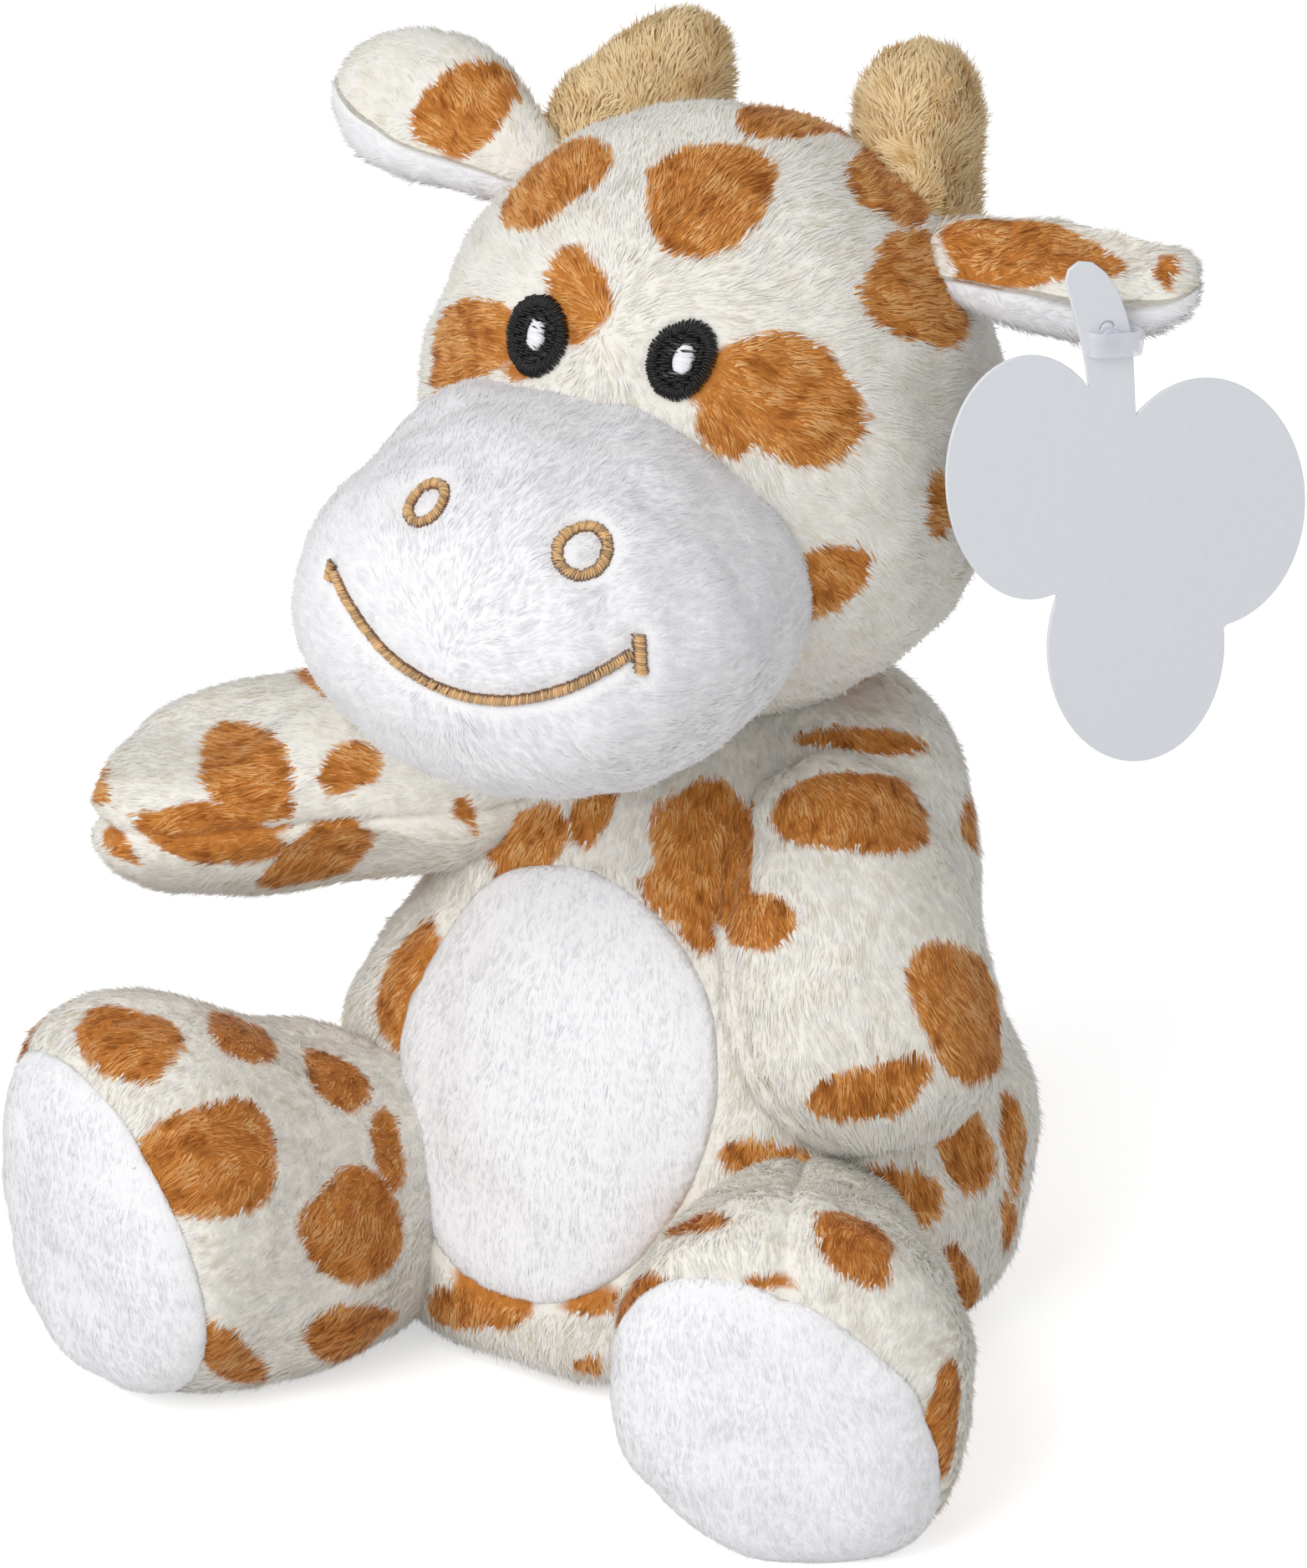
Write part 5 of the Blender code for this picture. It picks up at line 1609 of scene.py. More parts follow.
PATCH_KEEP_SHARE = 0.985
PATCH_PUCKER_SHARE = 0.4
PATCH_LIFT = 0.0002
PATCH_THICKNESS = 0.0012
CHEST_SEAM_SHARE = 1.2
CHEST_SEAM_SHIFT_SHARE = 0.5
BROW_Z = 0.150
MUZZLE_COMB_SHARE = 0.9


class GIRAFFE_OT_torso(Operator):
    """Make the torso, its seams and spots, and the white belly patch"""

    bl_idname = "giraffe.torso"
    bl_label = "Torso and belly patch"

    def execute(self, context):
        size = sizes()
        skin = stuffed_skin("torso_skin", "torso", SKIN_LEVELS)
        low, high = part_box("belly_patch")
        centre = (low + high) / 2
        across = (skin.points[:, 0] - centre.x) / (size.patch_width / 2)
        height = (skin.points[:, 2] - centre.z) / (size.patch_height / 2)
        front = skin.normals[:, 1] < BACKWARD_NORMAL
        ring = (np.hypot(across, height) - 1) * (size.patch_width + size.patch_height) / 4
        angle = np.arctan2(height, across)
        edge = np.where(front, ring, 1.0)
        pucker = SEAM_PUCKER * PATCH_PUCKER_SHARE
        skin.sew(edge, SEAM_DEPTH, SEAM_WIDTH, pucker, angle * size.patch_width / 2)
        above = front & (skin.points[:, 2] > high.z)
        middle = np.where(above, skin.points[:, 0] - centre.x * CHEST_SEAM_SHIFT_SHARE, 1.0)
        skin.sew(middle, SEAM_DEPTH * CHEST_SEAM_SHARE, SEAM_WIDTH, SEAM_PUCKER, skin.points[:, 2])
        sew_back(skin)
        seat_on_floor(skin)
        covers = [form(name) for name in ("head", "right_arm", "left_arm", "right_leg", "left_leg")]
        spots = all_spots(
            skin, "torso", size=0.0075, gap=0.0042, covers=covers, seeds=(21, 22)
        )
        patch = patch_of(skin, "belly_patch_skin", edge, PATCH_LIFT, PATCH_THICKNESS)
        dress(skin, "spotted", "torso", ["torso"], spots=spots)
        dress(patch, "white", "torso", ["belly_patch"])

        def off_patch(roots):
            u = (roots[:, 0] - centre.x) / (size.patch_width / 2)
            v = (roots[:, 2] - centre.z) / (size.patch_height / 2)
            return (np.hypot(u, v) > PATCH_KEEP_SHARE) | (roots[:, 1] > 0), 1.0

        hidden = [form(name) for name in ("head", "right_arm", "right_leg", "left_leg")]
        add_pile(
            skin, "spotted", "torso", short_pile(), along((0, 0, -1)),
            seed=31, covers=hidden, keep=off_patch, spots=spots,
        )
        add_pile(patch, "white", "torso", smooth_pile(), along((0.1, 0, -1)), seed=32)
        return {"FINISHED"}


class GIRAFFE_OT_head(Operator):
    """Make the head with its printed spots and the hollows that the eyes sit in"""

    bl_idname = "giraffe.head"
    bl_label = "Head"

    def execute(self, context):
        size = sizes()
        skin = stuffed_skin("head_skin", "head", SKIN_LEVELS)
        tree = skin.tree()
        lines = []
        for x, z in EYE_PLACES.values():
            oval = oval_line(size.eye_width * EYE_DIMPLE_SHARE, size.eye_height * EYE_DIMPLE_SHARE)
            lines.append(line_on(tree, face_projector(x, z), oval))
            lines.append(line_on(tree, face_projector(x, z), [(0, 0)]))
        eyes = np.concatenate(lines)
        reach = distance_to(eyes, skin.points)
        skin.press(THREAD_DIMPLE * np.exp(-(reach / EYE_DIMPLE_WIDTH) ** 2))
        sew_back(skin)
        SKINS["head"] = skin
        covers = [form("torso"), form("muzzle")]
        spots = all_spots(
            skin, "head", size=0.0076, gap=0.0040, covers=covers, seeds=(41, 42)
        )
        dress(skin, "spotted", "head", ["head"], spots=spots)

        def off_eyes(roots):
            clear = np.zeros(len(roots), bool)
            for x, z in EYE_PLACES.values():
                u = (roots[:, 0] - x) / (size.eye_width / 2)
                v = (roots[:, 2] - z) / (size.eye_height / 2)
                clear |= (np.hypot(u, v) < 1.0) & (roots[:, 1] < 0)
            return ~clear, np.clip(distance_to(eyes, roots) / EYE_FADE, SHORTEST_SHARE, 1)

        brow = Vector((0.0, form("head").placing.translation.y - size.head_depth / 2, BROW_Z))
        add_pile(
            skin, "spotted", "head", short_pile(), away_from(brow),
            seed=43, covers=covers, keep=off_eyes, spots=spots,
        )
        return {"FINISHED"}


class GIRAFFE_OT_muzzle(Operator):
    """Make the white muzzle with the hollows that its embroidery sits in"""

    bl_idname = "giraffe.muzzle"
    bl_label = "Muzzle"

    def execute(self, context):
        skin = stuffed_skin("muzzle_skin", "muzzle", SKIN_LEVELS)
        reach = distance_to(mouth_lines(skin.tree()), skin.points)
        skin.press(THREAD_DIMPLE * np.exp(-(reach / THREAD_DIMPLE_WIDTH) ** 2))
        SKINS["muzzle"] = skin
        dress(skin, "white", "head", ["muzzle"])
        nose = Vector((0, 0, skin.form.length * MUZZLE_COMB_SHARE))
        comb = away_from(skin.form.placing @ nose)
        mouth = mouth_lines(skin.tree())

        def off_mouth(roots):
            distance = distance_to(mouth, roots)
            share = SHORTEST_SHARE + (distance - MOUTH_CLEAR) / MOUTH_FADE
            return distance > MOUTH_CLEAR, np.clip(share, SHORTEST_SHARE, 1)

        pile = short_pile(
            length_share=0.8, width_share=0.85, density_share=1.2, wander=0.9, lift_share=0.75
        )
        add_pile(skin, "white", "head", pile, comb, seed=51, covers=[form("head")], keep=off_mouth)
        return {"FINISHED"}


class GIRAFFE_OT_mouth(Operator):
    """Stitch the nostrils, the smile and the short strokes at its ends"""

    bl_idname = "giraffe.mouth"
    bl_label = "Nostrils and smile"

    def execute(self, context):
        tree = SKINS["muzzle"].tree()
        colour = colours()
        gold = thread_tones("gold_thread", colour.gold_thread, spread=0.26)
        brown = thread_tones("brown_thread", colour.brown_thread, spread=0.35)
        width = sizes().thread_column
        face = face_projector()
        lines = [("smile", smile_line(), face, False, 0.0)]
        for side_name, side in SIDES.items():
            lines.append((f"{side_name}_smile_tick", tick_line(side), face, False, TICK_LIFT))
            projector = nostril_projector(NOSTRIL_PLACES[side_name])
            lines.append((f"{side_name}_nostril", nostril_line(side_name), projector, True, 0.0))
        for number, (name, line, projector, closed, lift) in enumerate(lines):
            # A wider brown layer under the gold: its dark edges are partly a real under-thread and
            # partly painted shade where the stitched lines sink into the pile
            layers = (
                ("under_stitches", UNDER_THREAD_EDGE_SHADE_SHARE, UNDER_THREAD_LIFT, UNDER_ARCH_SHARE, brown),
                ("stitches", 1, TOP_THREAD_LIFT, 1, gold),
            )
            for suffix, width_share, height, arch_share, tones in layers:
                pairs = column_stitches(line, width * width_share, closed, STITCH_RAGGEDNESS)
                threads = laid_threads(
                    f"{name}_{suffix}", tree, projector, pairs, lift + height,
                    STITCH_ARCH * arch_share, tones, 61 + number,
                )
                place_stitches(threads, "head", [name])
        return {"FINISHED"}


class GIRAFFE_OT_eyes(Operator):
    """Stitch the black eyes and their white glints"""

    bl_idname = "giraffe.eyes"
    bl_label = "Eyes"

    def execute(self, context):
        size = sizes()
        colour = colours()
        tree = SKINS["head"].tree()
        black = thread_tones(
            "black_thread", colour.black_thread,
            spread=0.35, roughness=0.5, sheen=0.0, specular=0.35,
        )
        white = thread_tones("white_thread", colour.white_thread, spread=0.05)
        border = size.eye_width / 2 * EYE_BORDER_SHARE
        half_height = size.eye_height / 2
        for number, (side_name, (x, z)) in enumerate(EYE_PLACES.items()):
            projector = face_projector(x, z)
            half_width = size.eye_width / 2 * EYE_WIDTH_SHARES[side_name]
            ring = oval_line(half_width - border / 2, half_height - border / 2)
            inset = border * EYE_FILL_INSET_SHARE
            pairs = oval_rows(half_width - inset, half_height - inset, longest=EYE_FILL_LENGTH)
            pairs += column_stitches(ring, border, True, EYE_RAGGEDNESS)
            rows = oval_rows(GLINT_WIDTH / 2, GLINT_HEIGHT / 2, GLINT_SLOPE, pitch=GLINT_PITCH)
            rows = [((a + GLINT_SHIFT, b), (c + GLINT_SHIFT, d)) for (a, b), (c, d) in rows]
            for kind, node, stitches, lift, tones, slot, seed in (
                ("eye", "eye", pairs, EYE_LIFT, black, "black_thread", 71),
                ("glint", "eye_glint", rows, GLINT_LIFT, white, "white_thread", 73),
            ):
                threads = laid_threads(
                    f"{side_name}_{kind}_stitches", tree, projector, stitches, lift, EYE_ARCH,
                    tones, seed + number,
                )
                place_stitches(threads, "head", [f"{side_name}_{node}"])
        return {"FINISHED"}


class GIRAFFE_OT_horns(Operator):
    """Make the two tan horns with their long pile"""

    bl_idname = "giraffe.horns"
    bl_label = "Horns"

    def execute(self, context):
        for number, side_name in enumerate(SIDES):
            skin = stuffed_skin(f"{side_name}_horn_skin", f"{side_name}_horn", SMALL_SKIN_LEVELS)
            dress(skin, "tan", "head", [f"{side_name}_horn"])
            direction = skin.form.placing.to_3x3() @ Vector((0, 0, 1))
            add_pile(
                skin, "tan", "head", long_pile(), along(direction),
                seed=81 + number, covers=[form("head")],
            )
        return {"FINISHED"}


EAR_FAN_DEPTH = 0.014
EAR_SEAM_GAP = 0.00015
EAR_SEAM_DEPTH = 0.0003
EAR_SEAM_WIDTH_SHARE = 0.8
EAR_SHOWN_SHARE = 1.2
EAR_SEAM_TURN = math.radians(40)


class GIRAFFE_OT_ears(Operator):
    """Make both halves of each ear, spotted outside and white inside"""

    bl_idname = "giraffe.ears"
    bl_label = "Ears"

    def execute(self, context):
        for number, side_name in enumerate(SIDES):
            name = f"{side_name}_ear"
            direction = limb_direction(name)
            lower = -SIDES[side_name]
            square = np.array([-math.sin(EAR_SEAM_TURN) * lower, math.cos(EAR_SEAM_TURN), 0])
            for half, suffix, kind in ((1, "", "spotted"), (-1, "_lining", "white")):
                skin = stuffed_skin(f"{name}{suffix}_skin", name, SKIN_LEVELS)
                skin.sew(skin.local @ square, EAR_SEAM_DEPTH, SEAM_WIDTH * EAR_SEAM_WIDTH_SHARE)
                local = skin.local.copy()
                rise = local @ square * half
                local += np.outer(np.maximum(EAR_SEAM_GAP - rise, 0) * half, square)
                skin.write(moved(skin.form.placing, local))
                shown = skin.local @ square * half > EAR_SEAM_GAP * EAR_SHOWN_SHARE
                spots = None
                if kind == "spotted":
                    spots = seen_spots(skin, name, 91 + number)
                dress(skin, kind, name, [f"{name}{suffix}"], spots=spots)
                skin.triangles = skin.triangles[shown[skin.triangles].all(axis=1)]
                fan = away_from(joint_point(f"{name}_flap") - direction * EAR_FAN_DEPTH)
                add_pile(
                    skin, kind, name, short_pile(wander=1.5), fan,
                    seed=95 + number * 2 + half, covers=[form("head")], spots=spots,
                )
        return {"FINISHED"}


ARM_TIP_SHARE = 0.86
ARM_TIP_SPAN = 0.14
ARM_SEAM_SHARE = 1.5
ARM_TIP_SEAM_SHARE = 2.4


class GIRAFFE_OT_arms(Operator):
    """Make the arms with the seam that runs round each of them"""

    bl_idname = "giraffe.arms"
    bl_label = "Arms"

    def execute(self, context):
        for number, side_name in enumerate(SIDES):
            name = f"{side_name}_arm"
            skin = stuffed_skin(f"{name}_skin", name, SKIN_LEVELS)
            share = skin.local[:, 2] / skin.form.length
            tip = np.clip((share - ARM_TIP_SHARE) / ARM_TIP_SPAN, 0, 1)
            depth = SEAM_DEPTH * (ARM_SEAM_SHARE + ARM_TIP_SEAM_SHARE * tip * tip)
            width = SEAM_WIDTH * (1 + tip)
            skin.sew(skin.local[:, 1], depth, width, SEAM_PUCKER, skin.local[:, 2])
            covers = [form("torso")]
            spots = all_spots(
                skin, name, size=0.0068, gap=0.0036, covers=covers,
                seeds=(101 + number, 103 + number),
            )
            dress(skin, "spotted", name, [name], spots=spots)
            comb = along(limb_direction(name))
            add_pile(
                skin, "spotted", name, short_pile(), comb,
                seed=105 + number, covers=covers, spots=spots,
            )
        return {"FINISHED"}


SOLE_PUCKER_SHARE = 0.3
SOLE_LIFT = 0.0003
SOLE_THICKNESS = 0.0014
SOLE_OVERLAP = 0.0002
LEG_COMB_DROP = 0.4


class GIRAFFE_OT_legs(Operator):
    """Make the legs and their white soles"""

    bl_idname = "giraffe.legs"
    bl_label = "Legs and soles"

    def execute(self, context):
        size = sizes()
        for number, side_name in enumerate(SIDES):
            name = f"{side_name}_leg"
            skin = stuffed_skin(f"{name}_skin", name, SKIN_LEVELS)
            tilt = SOLE_TILTS[side_name]
            sole_start = skin.form.length - getattr(size, f"{side_name}_sole_depth")
            past = skin.local[:, 2] - sole_start
            facing = np.array([-math.sin(SOLE_TURNS[side_name]), -math.sin(tilt), math.cos(tilt)])
            plane = past * facing[2] + skin.local[:, :2] @ facing[:2]
            around = np.arctan2(skin.local[:, 1], skin.local[:, 0]) * size.leg_width / 2
            top = np.where(plane < 0, skin.local[:, 0], 1.0)
            skin.sew(top, SEAM_DEPTH, SEAM_WIDTH, SEAM_PUCKER, skin.local[:, 2])
            skin.sew(plane, SEAM_DEPTH, SEAM_WIDTH, SEAM_PUCKER * SOLE_PUCKER_SHARE, around)
            seat_on_floor(skin)
            covers = [form("torso")]
            spots = all_spots(
                skin, name, size=0.0070, gap=0.0038, covers=covers,
                seeds=(111 + number, 113 + number),
            )
            sole = patch_of(skin, f"{side_name}_sole_skin", -plane, SOLE_LIFT, SOLE_THICKNESS)
            dress(skin, "spotted", name, [name], spots=spots)
            dress(sole, "white", name, [f"{side_name}_sole"])
            inverse = skin.form.placing.inverted()

            def off_sole(roots):
                local = moved(inverse, roots)
                beyond = (local[:, 2] - sole_start) * facing[2] + local[:, :2] @ facing[:2]
                return beyond < SOLE_OVERLAP, 1.0

            comb = along(limb_direction(name) + Vector((0, 0, -LEG_COMB_DROP)))
            add_pile(
                skin, "spotted", name, short_pile(), comb,
                seed=115 + number, covers=covers, keep=off_sole, spots=spots,
            )
            add_pile(sole, "white", name, smooth_pile(), along((0.15, 0, -1)), seed=117 + number)
        return {"FINISHED"}


class GIRAFFE_OT_tail(Operator):
    """Make the tail and its long-haired tuft"""

    bl_idname = "giraffe.tail"
    bl_label = "Tail and tuft"

    def execute(self, context):
        direction = limb_direction("tail")
        tail = stuffed_skin("tail_skin", "tail", SMALL_SKIN_LEVELS)
        spots = unseen_spots(tail, [], size=0.0030, gap=0.0030, covers=[], seed=121)
        dress(tail, "spotted", "tail", ["tail"], spots=spots)
        covers = [form("torso"), form("tail_tuft")]
        pile = short_pile(length_share=0.8, width_share=0.9)
        add_pile(
            tail, "spotted", "tail", pile, along(direction), seed=122, covers=covers, spots=spots
        )
        tuft = stuffed_skin("tail_tuft_skin", "tail_tuft", SMALL_SKIN_LEVELS)
        dress(tuft, "tan", "tail", ["tail_tuft"])
        add_pile(tuft, "tan", "tail", long_pile(), along(direction), seed=123)
        return {"FINISHED"}


CARD_TURN = math.radians(54)
CARD_THICKNESS = 0.0005
CARD_EDGE = 0.00016
CARD_NECK_WIDTH = 0.0066
CARD_NECK_SHIFT = 0.0009
CARD_SLANT = 0.186
CARD_LOBES = (
    (-0.0109, -0.0197, 0.0123, 0.0167),
    (0.0151, -0.0228, 0.0148, 0.0173),
    (0.0052, -0.0429, 0.0131, 0.0162),
)
CARD_OUTLINE_STEPS = 140
TONGUE_LINE = (
    (-0.0036, -0.0008), (-0.0047, 0.0032), (-0.0063, 0.0086), (-0.0059, 0.0101), (-0.0045, 0.0109),
    (-0.0026, 0.0105), (-0.0007, 0.0089), (0.0010, 0.0065), (0.0022, 0.0035), (0.0034, -0.0004),
)
SLIT_PLACE = (-0.0002, 0.0012)
SLIT_RADIUS = 0.00135
SLIT_WIDTH = 0.0006
SLIT_STEPS = 12
BAND_EASE = 0.0005
BAND_HALF_DEPTH = 0.0014
BAND_HEIGHT = 0.0034
BAND_WALL = 0.0006
BAND_MIDDLE = -0.0008
BAND_SLANT = 0.10
BAND_SQUARENESS = 0.55
BAND_STEPS = 40
BAND_SECTION_STEPS = 16
CARD_SHADE_SHARE = 0.93
FILM_COLOUR = (0.88, 0.89, 0.94)
FILM_LIGHT = (0.90, 0.91, 0.96)
FILM_DARK = (0.78, 0.79, 0.88)
FLAT_FACE_SHARE = 0.999
CARD_WELD = 0.00001


def card_placing():
    """Return the placing of the card: across, up and out of its face."""
    across = Vector((math.cos(CARD_TURN), math.sin(CARD_TURN), 0))
    normal = Vector((math.sin(CARD_TURN), -math.cos(CARD_TURN), 0))
    placing = Matrix((across, Vector((0, 0, 1)), normal)).transposed().to_4x4()
    placing.translation = joint_point("tag_swing")
    return placing


def lobe_exit(lobe, centre, direction):
    """Return how far from a centre a line leaves a lobe, or zero where it misses."""
    start = Vector(((centre[0] - lobe[0]) / lobe[2], (centre[1] - lobe[1]) / lobe[3]))
    step = Vector((direction[0] / lobe[2], direction[1] / lobe[3]))
    a = step.dot(step)
    b = start.dot(step)
    inside = b * b - a * (start.dot(start) - 1)
    return (-b + math.sqrt(inside)) / a if inside > 0 else 0


def card_outline():
    """Return the outline of the card: three lobes, the neck and the leaning tongue."""
    centre = tuple(sum(lobe[i] for lobe in CARD_LOBES) / len(CARD_LOBES) for i in range(2))
    feet = []
    for lobe, side in ((CARD_LOBES[1], 1), (CARD_LOBES[0], -1)):
        across = CARD_NECK_SHIFT + side * CARD_NECK_WIDTH / 2
        share = (across - lobe[0]) / lobe[2]
        feet.append((across, lobe[1] + lobe[3] * math.sqrt(1 - share * share)))
    angles = [math.atan2(up - centre[1], across - centre[0]) for across, up in feet]
    sweep = angles[1] - 2 * math.pi - angles[0]
    points = [feet[0]]
    for step in range(1, CARD_OUTLINE_STEPS):
        angle = angles[0] + sweep * step / CARD_OUTLINE_STEPS
        direction = (math.cos(angle), math.sin(angle))
        reach = max(lobe_exit(lobe, centre, direction) for lobe in CARD_LOBES)
        points.append((centre[0] + direction[0] * reach, centre[1] + direction[1] * reach))
    points.append(feet[1])
    slanted = [(across, up - CARD_SLANT * (across - CARD_NECK_SHIFT)) for across, up in points]
    return slanted + list(TONGUE_LINE)


def closed_line(curve, places):
    """Add a closed line through places to a curve."""
    spline = curve.splines.new("POLY")
    spline.points.add(len(places) - 1)
    spline.use_cyclic_u = True
    for point, place in zip(spline.points, places):
        point.co = (*place, 1)


def squared_off(value):
    """Return a sine or cosine swollen so that an oval comes nearer to a rectangle."""
    return math.copysign(abs(value) ** BAND_SQUARENESS, value)


def slit_outline():
    """Return the thin half-round slit in the tongue."""
    points = []
    for radius, first, last in ((SLIT_RADIUS, 0, 1), (SLIT_RADIUS - SLIT_WIDTH, 1, 0)):
        for step in range(SLIT_STEPS + 1):
            turn = math.pi * (first + (last - first) * step / SLIT_STEPS)
            up = radius * math.sin(turn)
            points.append((SLIT_PLACE[0] + radius * math.cos(turn), SLIT_PLACE[1] + up))
    return points


class GIRAFFE_OT_tag(Operator):
    """Finish the card, the clear band and the clear pin of the swing tag"""

    bl_idname = "giraffe.tag"
    bl_label = "Swing tag"

    def execute(self, context):
        colour = tuple(colours().card)
        card = plain_material("tag_card_paper", colour, roughness=0.55, specular=0.35)
        darker = tuple(value * CARD_SHADE_SHARE for value in colour)
        paper = mottled(card, colour, darker, scale=900, contrast=0.8)
        shader = card.node_tree.nodes["Principled BSDF"]
        card.node_tree.links.new(paper.outputs["Colour"], shader.inputs["Base Color"])
        bump_from(card, paper.outputs["Height"], strength=0.25, distance=0.0001)
        plate = self.outlined("tag_card_plate", [card_outline(), slit_outline()])
        plate.data.materials.append(card)
        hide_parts("tag_card")
        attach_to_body(plate, "tag")
        clear = plain_material("clear_plastic_film", FILM_COLOUR, roughness=0.2, specular=0.5)
        shader = clear.node_tree.nodes["Principled BSDF"]
        shader.inputs["Alpha"].default_value = 0.5
        shader.inputs["IOR"].default_value = 1.45
        streaks = mottled(clear, FILM_LIGHT, FILM_DARK, scale=600, contrast=0.9)
        clear.node_tree.links.new(streaks.outputs["Colour"], shader.inputs["Base Color"])
        bump_from(clear, streaks.outputs["Height"], strength=0.3, distance=0.0001)
        band = self.wrapped_band("tag_band_loop")
        band.data.materials.append(clear)
        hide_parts("tag_band")
        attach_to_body(band, "tag")
        self.finish_node("tag_pin", clear)
        return {"FINISHED"}

    def outlined(self, name, outlines):
        """Return a flat plate with softly pressed edges between its outlines."""
        curve = bpy.data.curves.new(name, "CURVE")
        curve.dimensions = "2D"
        curve.fill_mode = "BOTH"
        curve.bevel_depth = CARD_EDGE
        curve.bevel_resolution = 3
        curve.extrude = CARD_THICKNESS / 2 - CARD_EDGE
        for outline in outlines:
            closed_line(curve, [(across, up, 0) for across, up in outline])
        return self.placed(name, curve)

    def wrapped_band(self, name):
        """Return the clear band as one rounded loop round the neck of the card."""
        curve = bpy.data.curves.new(name, "CURVE")
        curve.dimensions = "3D"
        curve.use_fill_caps = True
        places = []
        for u, v in oval_line(1, 1, BAND_STEPS):
            across = squared_off(u) * (CARD_NECK_WIDTH / 2 + BAND_EASE)
            out = squared_off(v) * BAND_HALF_DEPTH
            places.append((CARD_NECK_SHIFT + across, BAND_MIDDLE - BAND_SLANT * across, out))
        closed_line(curve, places)
        curve.bevel_mode = "OBJECT"
        curve.bevel_object = self.band_section()
        return self.placed(name, curve)

    def band_section(self):
        """Return the flat rounded section of the clear band."""
        section = bpy.data.curves.new("band_section", "CURVE")
        section.dimensions = "2D"
        places = []
        for u, v in oval_line(1, 1, BAND_SECTION_STEPS):
            places.append((squared_off(v) * BAND_HEIGHT / 2, u * BAND_WALL / 2, 0))
        closed_line(section, places)
        return put("band_section", section)

    def placed(self, name, curve):
        """Return a curve as a mesh on the card's plane, with its helpers taken away."""
        helper = curve.bevel_object
        source = put(name, curve)
        bpy.context.view_layer.update()
        mesh = finished_mesh(source)
        mesh.materials.clear()
        if helper is not None:
            bpy.data.objects.remove(helper)
        mesh.transform(card_placing())
        face_outwards(mesh, CARD_WELD)
        mesh.shade_smooth()
        out = card_placing().to_3x3() @ Vector((0, 0, 1))
        for face in mesh.polygons:
            face.use_smooth = abs(face.normal.dot(out)) < FLAT_FACE_SHARE
        return put(name, mesh)

    def finish_node(self, name, material):
        """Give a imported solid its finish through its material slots."""
        node = frame["nodes"][name]
        for slot in node.material_slots:
            slot.link = "OBJECT"
            slot.material = material


FLOOR_HALF = 3.0
FLOOR_COLOUR = (0.9, 0.9, 0.9)
FLOOR_GLOW = 0.55
KEY_POWER = 10.4
LAMP_SIZE = 0.9
FILL_POWER = 1.2
WORLD_STRENGTH = 0.48
KEY_PLACE = (-0.14, -1.10, 0.90)
FILL_PLACE = (1.15, -0.75, 0.35)
LAMP_AIM = (0, 0, 0.08)


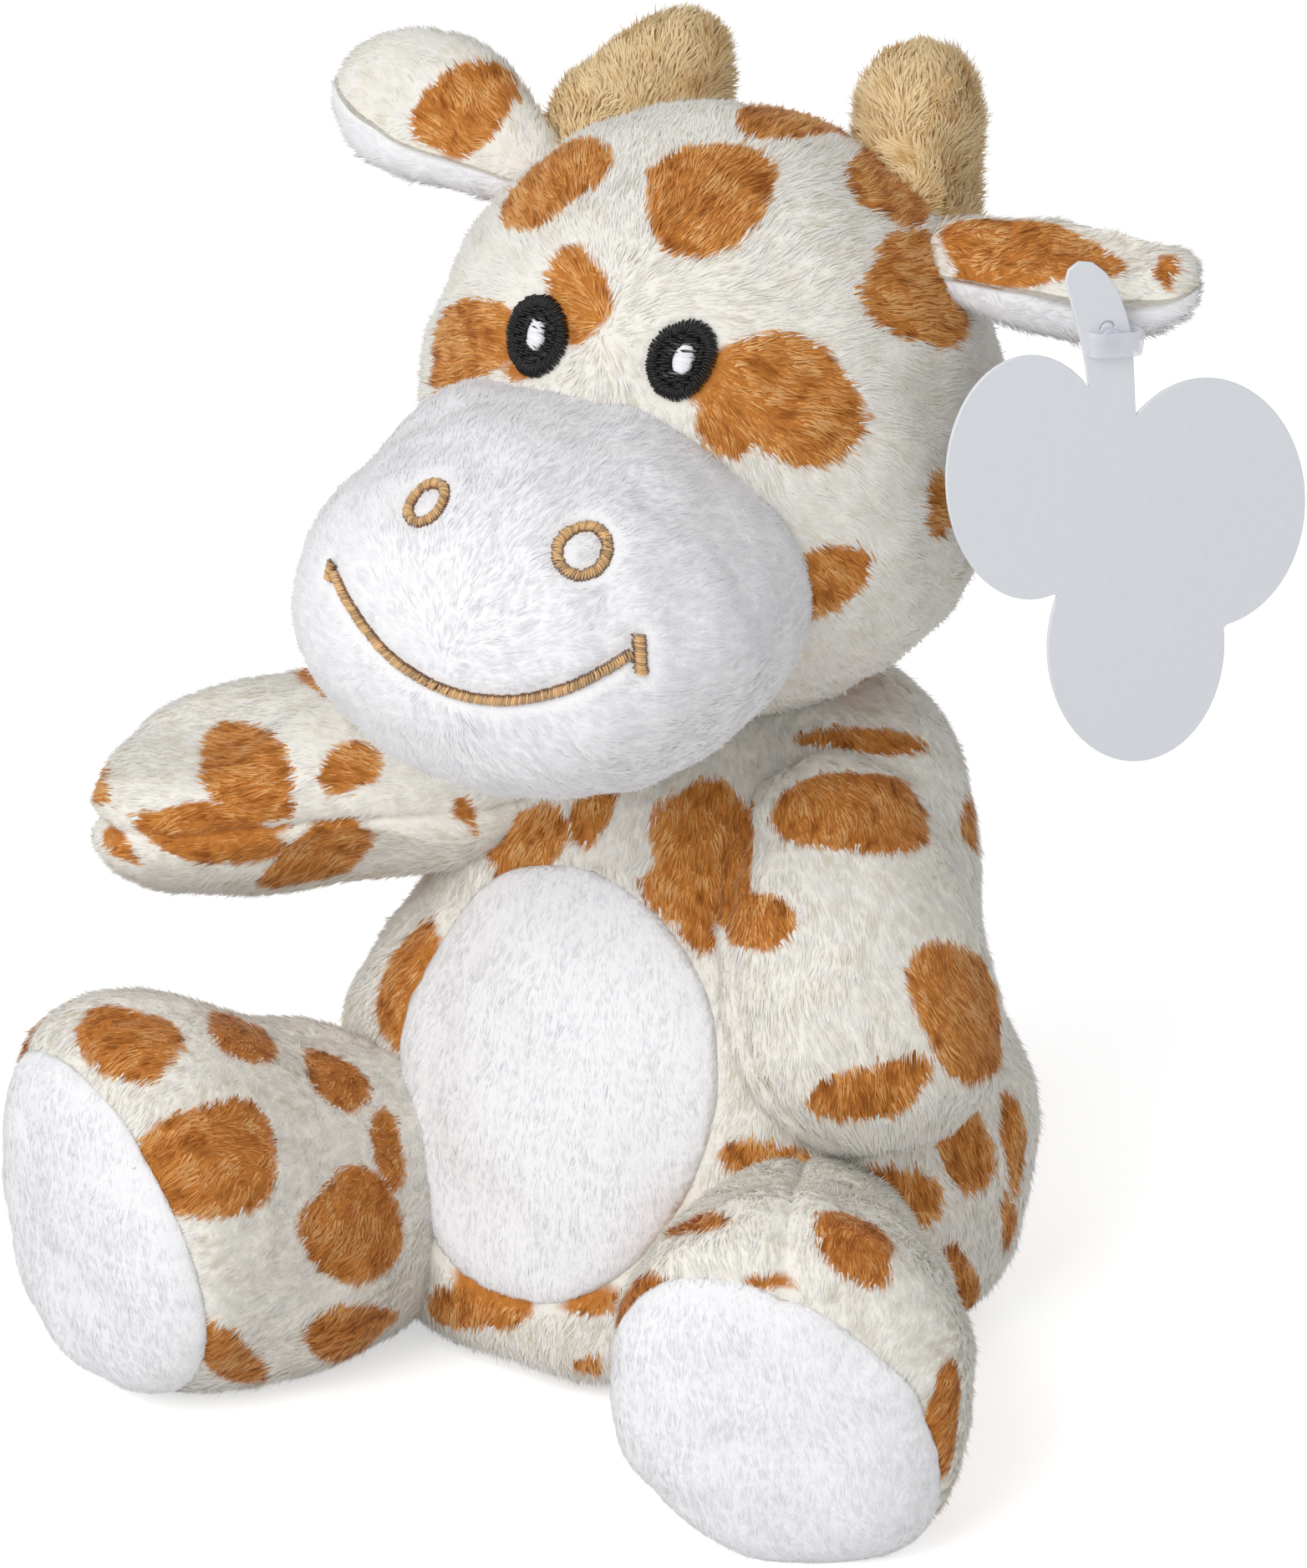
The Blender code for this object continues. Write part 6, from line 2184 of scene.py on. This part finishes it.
class GIRAFFE_OT_stage(Operator):
    """Make the pale floor, the soft lamps and the camera"""

    bl_idname = "giraffe.stage"
    bl_label = "Stage"

    def execute(self, context):
        scene = context.scene
        bm = bmesh.new()
        bmesh.ops.create_grid(bm, x_segments=1, y_segments=1, size=FLOOR_HALF)
        mesh = bpy.data.meshes.new("floor")
        bm.to_mesh(mesh)
        bm.free()
        floor = put("floor", mesh)
        floor.data.materials.append(self.floor_material())
        self.lamp("key", KEY_PLACE, KEY_POWER)
        self.lamp("fill", FILL_PLACE, FILL_POWER)
        scene.world = self.studio_world()
        camera = bpy.data.cameras.new("photo_camera")
        camera.sensor_fit = "VERTICAL"
        camera.sensor_height = SENSOR_MM
        camera.lens = PIXELS_PER_UNIT_ANGLE / PHOTO_HEIGHT_PX * SENSOR_MM
        camera.clip_start = 0.01
        camera.clip_end = 20
        scene.camera = put("photo_camera", camera)
        rotation = Matrix((VIEW_SIDE, VIEW_TOP, VIEW_BACK)).transposed().to_4x4()
        scene.camera.matrix_world = Matrix.Translation(VIEW_PLACE) @ rotation
        scene.view_settings.view_transform = "Standard"
        return {"FINISHED"}

    def floor_material(self):
        """Return a pale floor that shows white to the camera and keeps the shadow."""
        material = plain_material("pale_floor", FLOOR_COLOUR, roughness=0.9)
        tree = material.node_tree
        shader = tree.nodes["Principled BSDF"]
        shader.inputs["Emission Color"].default_value = (1, 1, 1, 1)
        seen = self.seen_ray(tree)
        glow = node_of(tree, "Math", operation="MULTIPLY")
        glow.inputs[1].default_value = FLOOR_GLOW
        tree.links.new(seen, glow.inputs[0])
        tree.links.new(glow.outputs[0], shader.inputs["Emission Strength"])
        return material

    def seen_ray(self, tree):
        """Return a value that is 1 for camera, glossy and transmission rays."""
        path = node_of(tree, "LightPath")
        value = path.outputs["Is Camera Ray"]
        for name in ("Is Glossy Ray", "Is Transmission Ray"):
            larger = node_of(tree, "Math", operation="MAXIMUM")
            tree.links.new(value, larger.inputs[0])
            tree.links.new(path.outputs[name], larger.inputs[1])
            value = larger.outputs[0]
        return value

    def lamp(self, name, place, power):
        """Add a soft square lamp that faces the toy."""
        light = bpy.data.lights.new(name, "AREA")
        light.size = LAMP_SIZE
        light.energy = power
        obj = put(name, light)
        obj.location = place
        aim = Vector(LAMP_AIM) - Vector(place)
        obj.rotation_mode = "QUATERNION"
        obj.rotation_quaternion = aim.to_track_quat("-Z", "Y")

    def studio_world(self):
        """Return a world that lights evenly from all round and is white behind the toy."""
        world = bpy.data.worlds.new("studio")
        world.use_nodes = True
        tree = world.node_tree
        background = tree.nodes["Background"]
        background.inputs["Color"].default_value = (1, 1, 1, 1)
        blend = node_of(tree, "Mix")
        blend.inputs["A"].default_value = WORLD_STRENGTH
        blend.inputs["B"].default_value = 1.0
        tree.links.new(self.seen_ray(tree), blend.inputs["Factor"])
        tree.links.new(blend.outputs["Result"], background.inputs["Strength"])
        return world


BUILD_ORDER = (
    "stage", "torso", "head", "muzzle", "mouth", "eyes", "horns", "ears", "arms", "legs", "tail",
    "tag",
)


class GIRAFFE_PT_panel(Panel):
    """The giraffe's steps and values"""

    bl_label = "Plush Giraffe"
    bl_idname = "GIRAFFE_PT_panel"
    bl_space_type = "VIEW_3D"
    bl_region_type = "UI"
    bl_category = "Giraffe"

    def draw(self, context):
        layout = self.layout
        for step in BUILD_ORDER:
            layout.operator(f"giraffe.{step}")
        for group_name in GROUPS:
            group = getattr(context.scene, group_name)
            box = layout.box()
            for name in group.bl_rna.properties.keys():
                if name not in ("rna_type", "name"):
                    box.prop(group, name)


GROUPS = {
    "giraffe_sizes": GIRAFFE_PG_sizes,
    "giraffe_pile": GIRAFFE_PG_pile,
    "giraffe_colours": GIRAFFE_PG_colours,
}
CLASSES = (
    *GROUPS.values(), GIRAFFE_OT_torso, GIRAFFE_OT_head, GIRAFFE_OT_muzzle, GIRAFFE_OT_mouth,
    GIRAFFE_OT_eyes, GIRAFFE_OT_horns, GIRAFFE_OT_ears, GIRAFFE_OT_arms, GIRAFFE_OT_legs,
    GIRAFFE_OT_tail, GIRAFFE_OT_tag, GIRAFFE_OT_stage, GIRAFFE_PT_panel,
)


def register():
    """Register the classes and hang their values on the scene."""
    for cls in CLASSES:
        bpy.utils.register_class(cls)
    for name, group in GROUPS.items():
        setattr(bpy.types.Scene, name, PointerProperty(type=group))


def unregister():
    """Take the values and the classes away again."""
    for name in GROUPS:
        delattr(bpy.types.Scene, name)
    for cls in reversed(CLASSES):
        bpy.utils.unregister_class(cls)


def main():
    """Build everything in order."""
    register()
    for step in BUILD_ORDER:
        getattr(bpy.ops.giraffe, step)()
    bpy.context.view_layer.update()


if __name__ == "__main__":
    main()
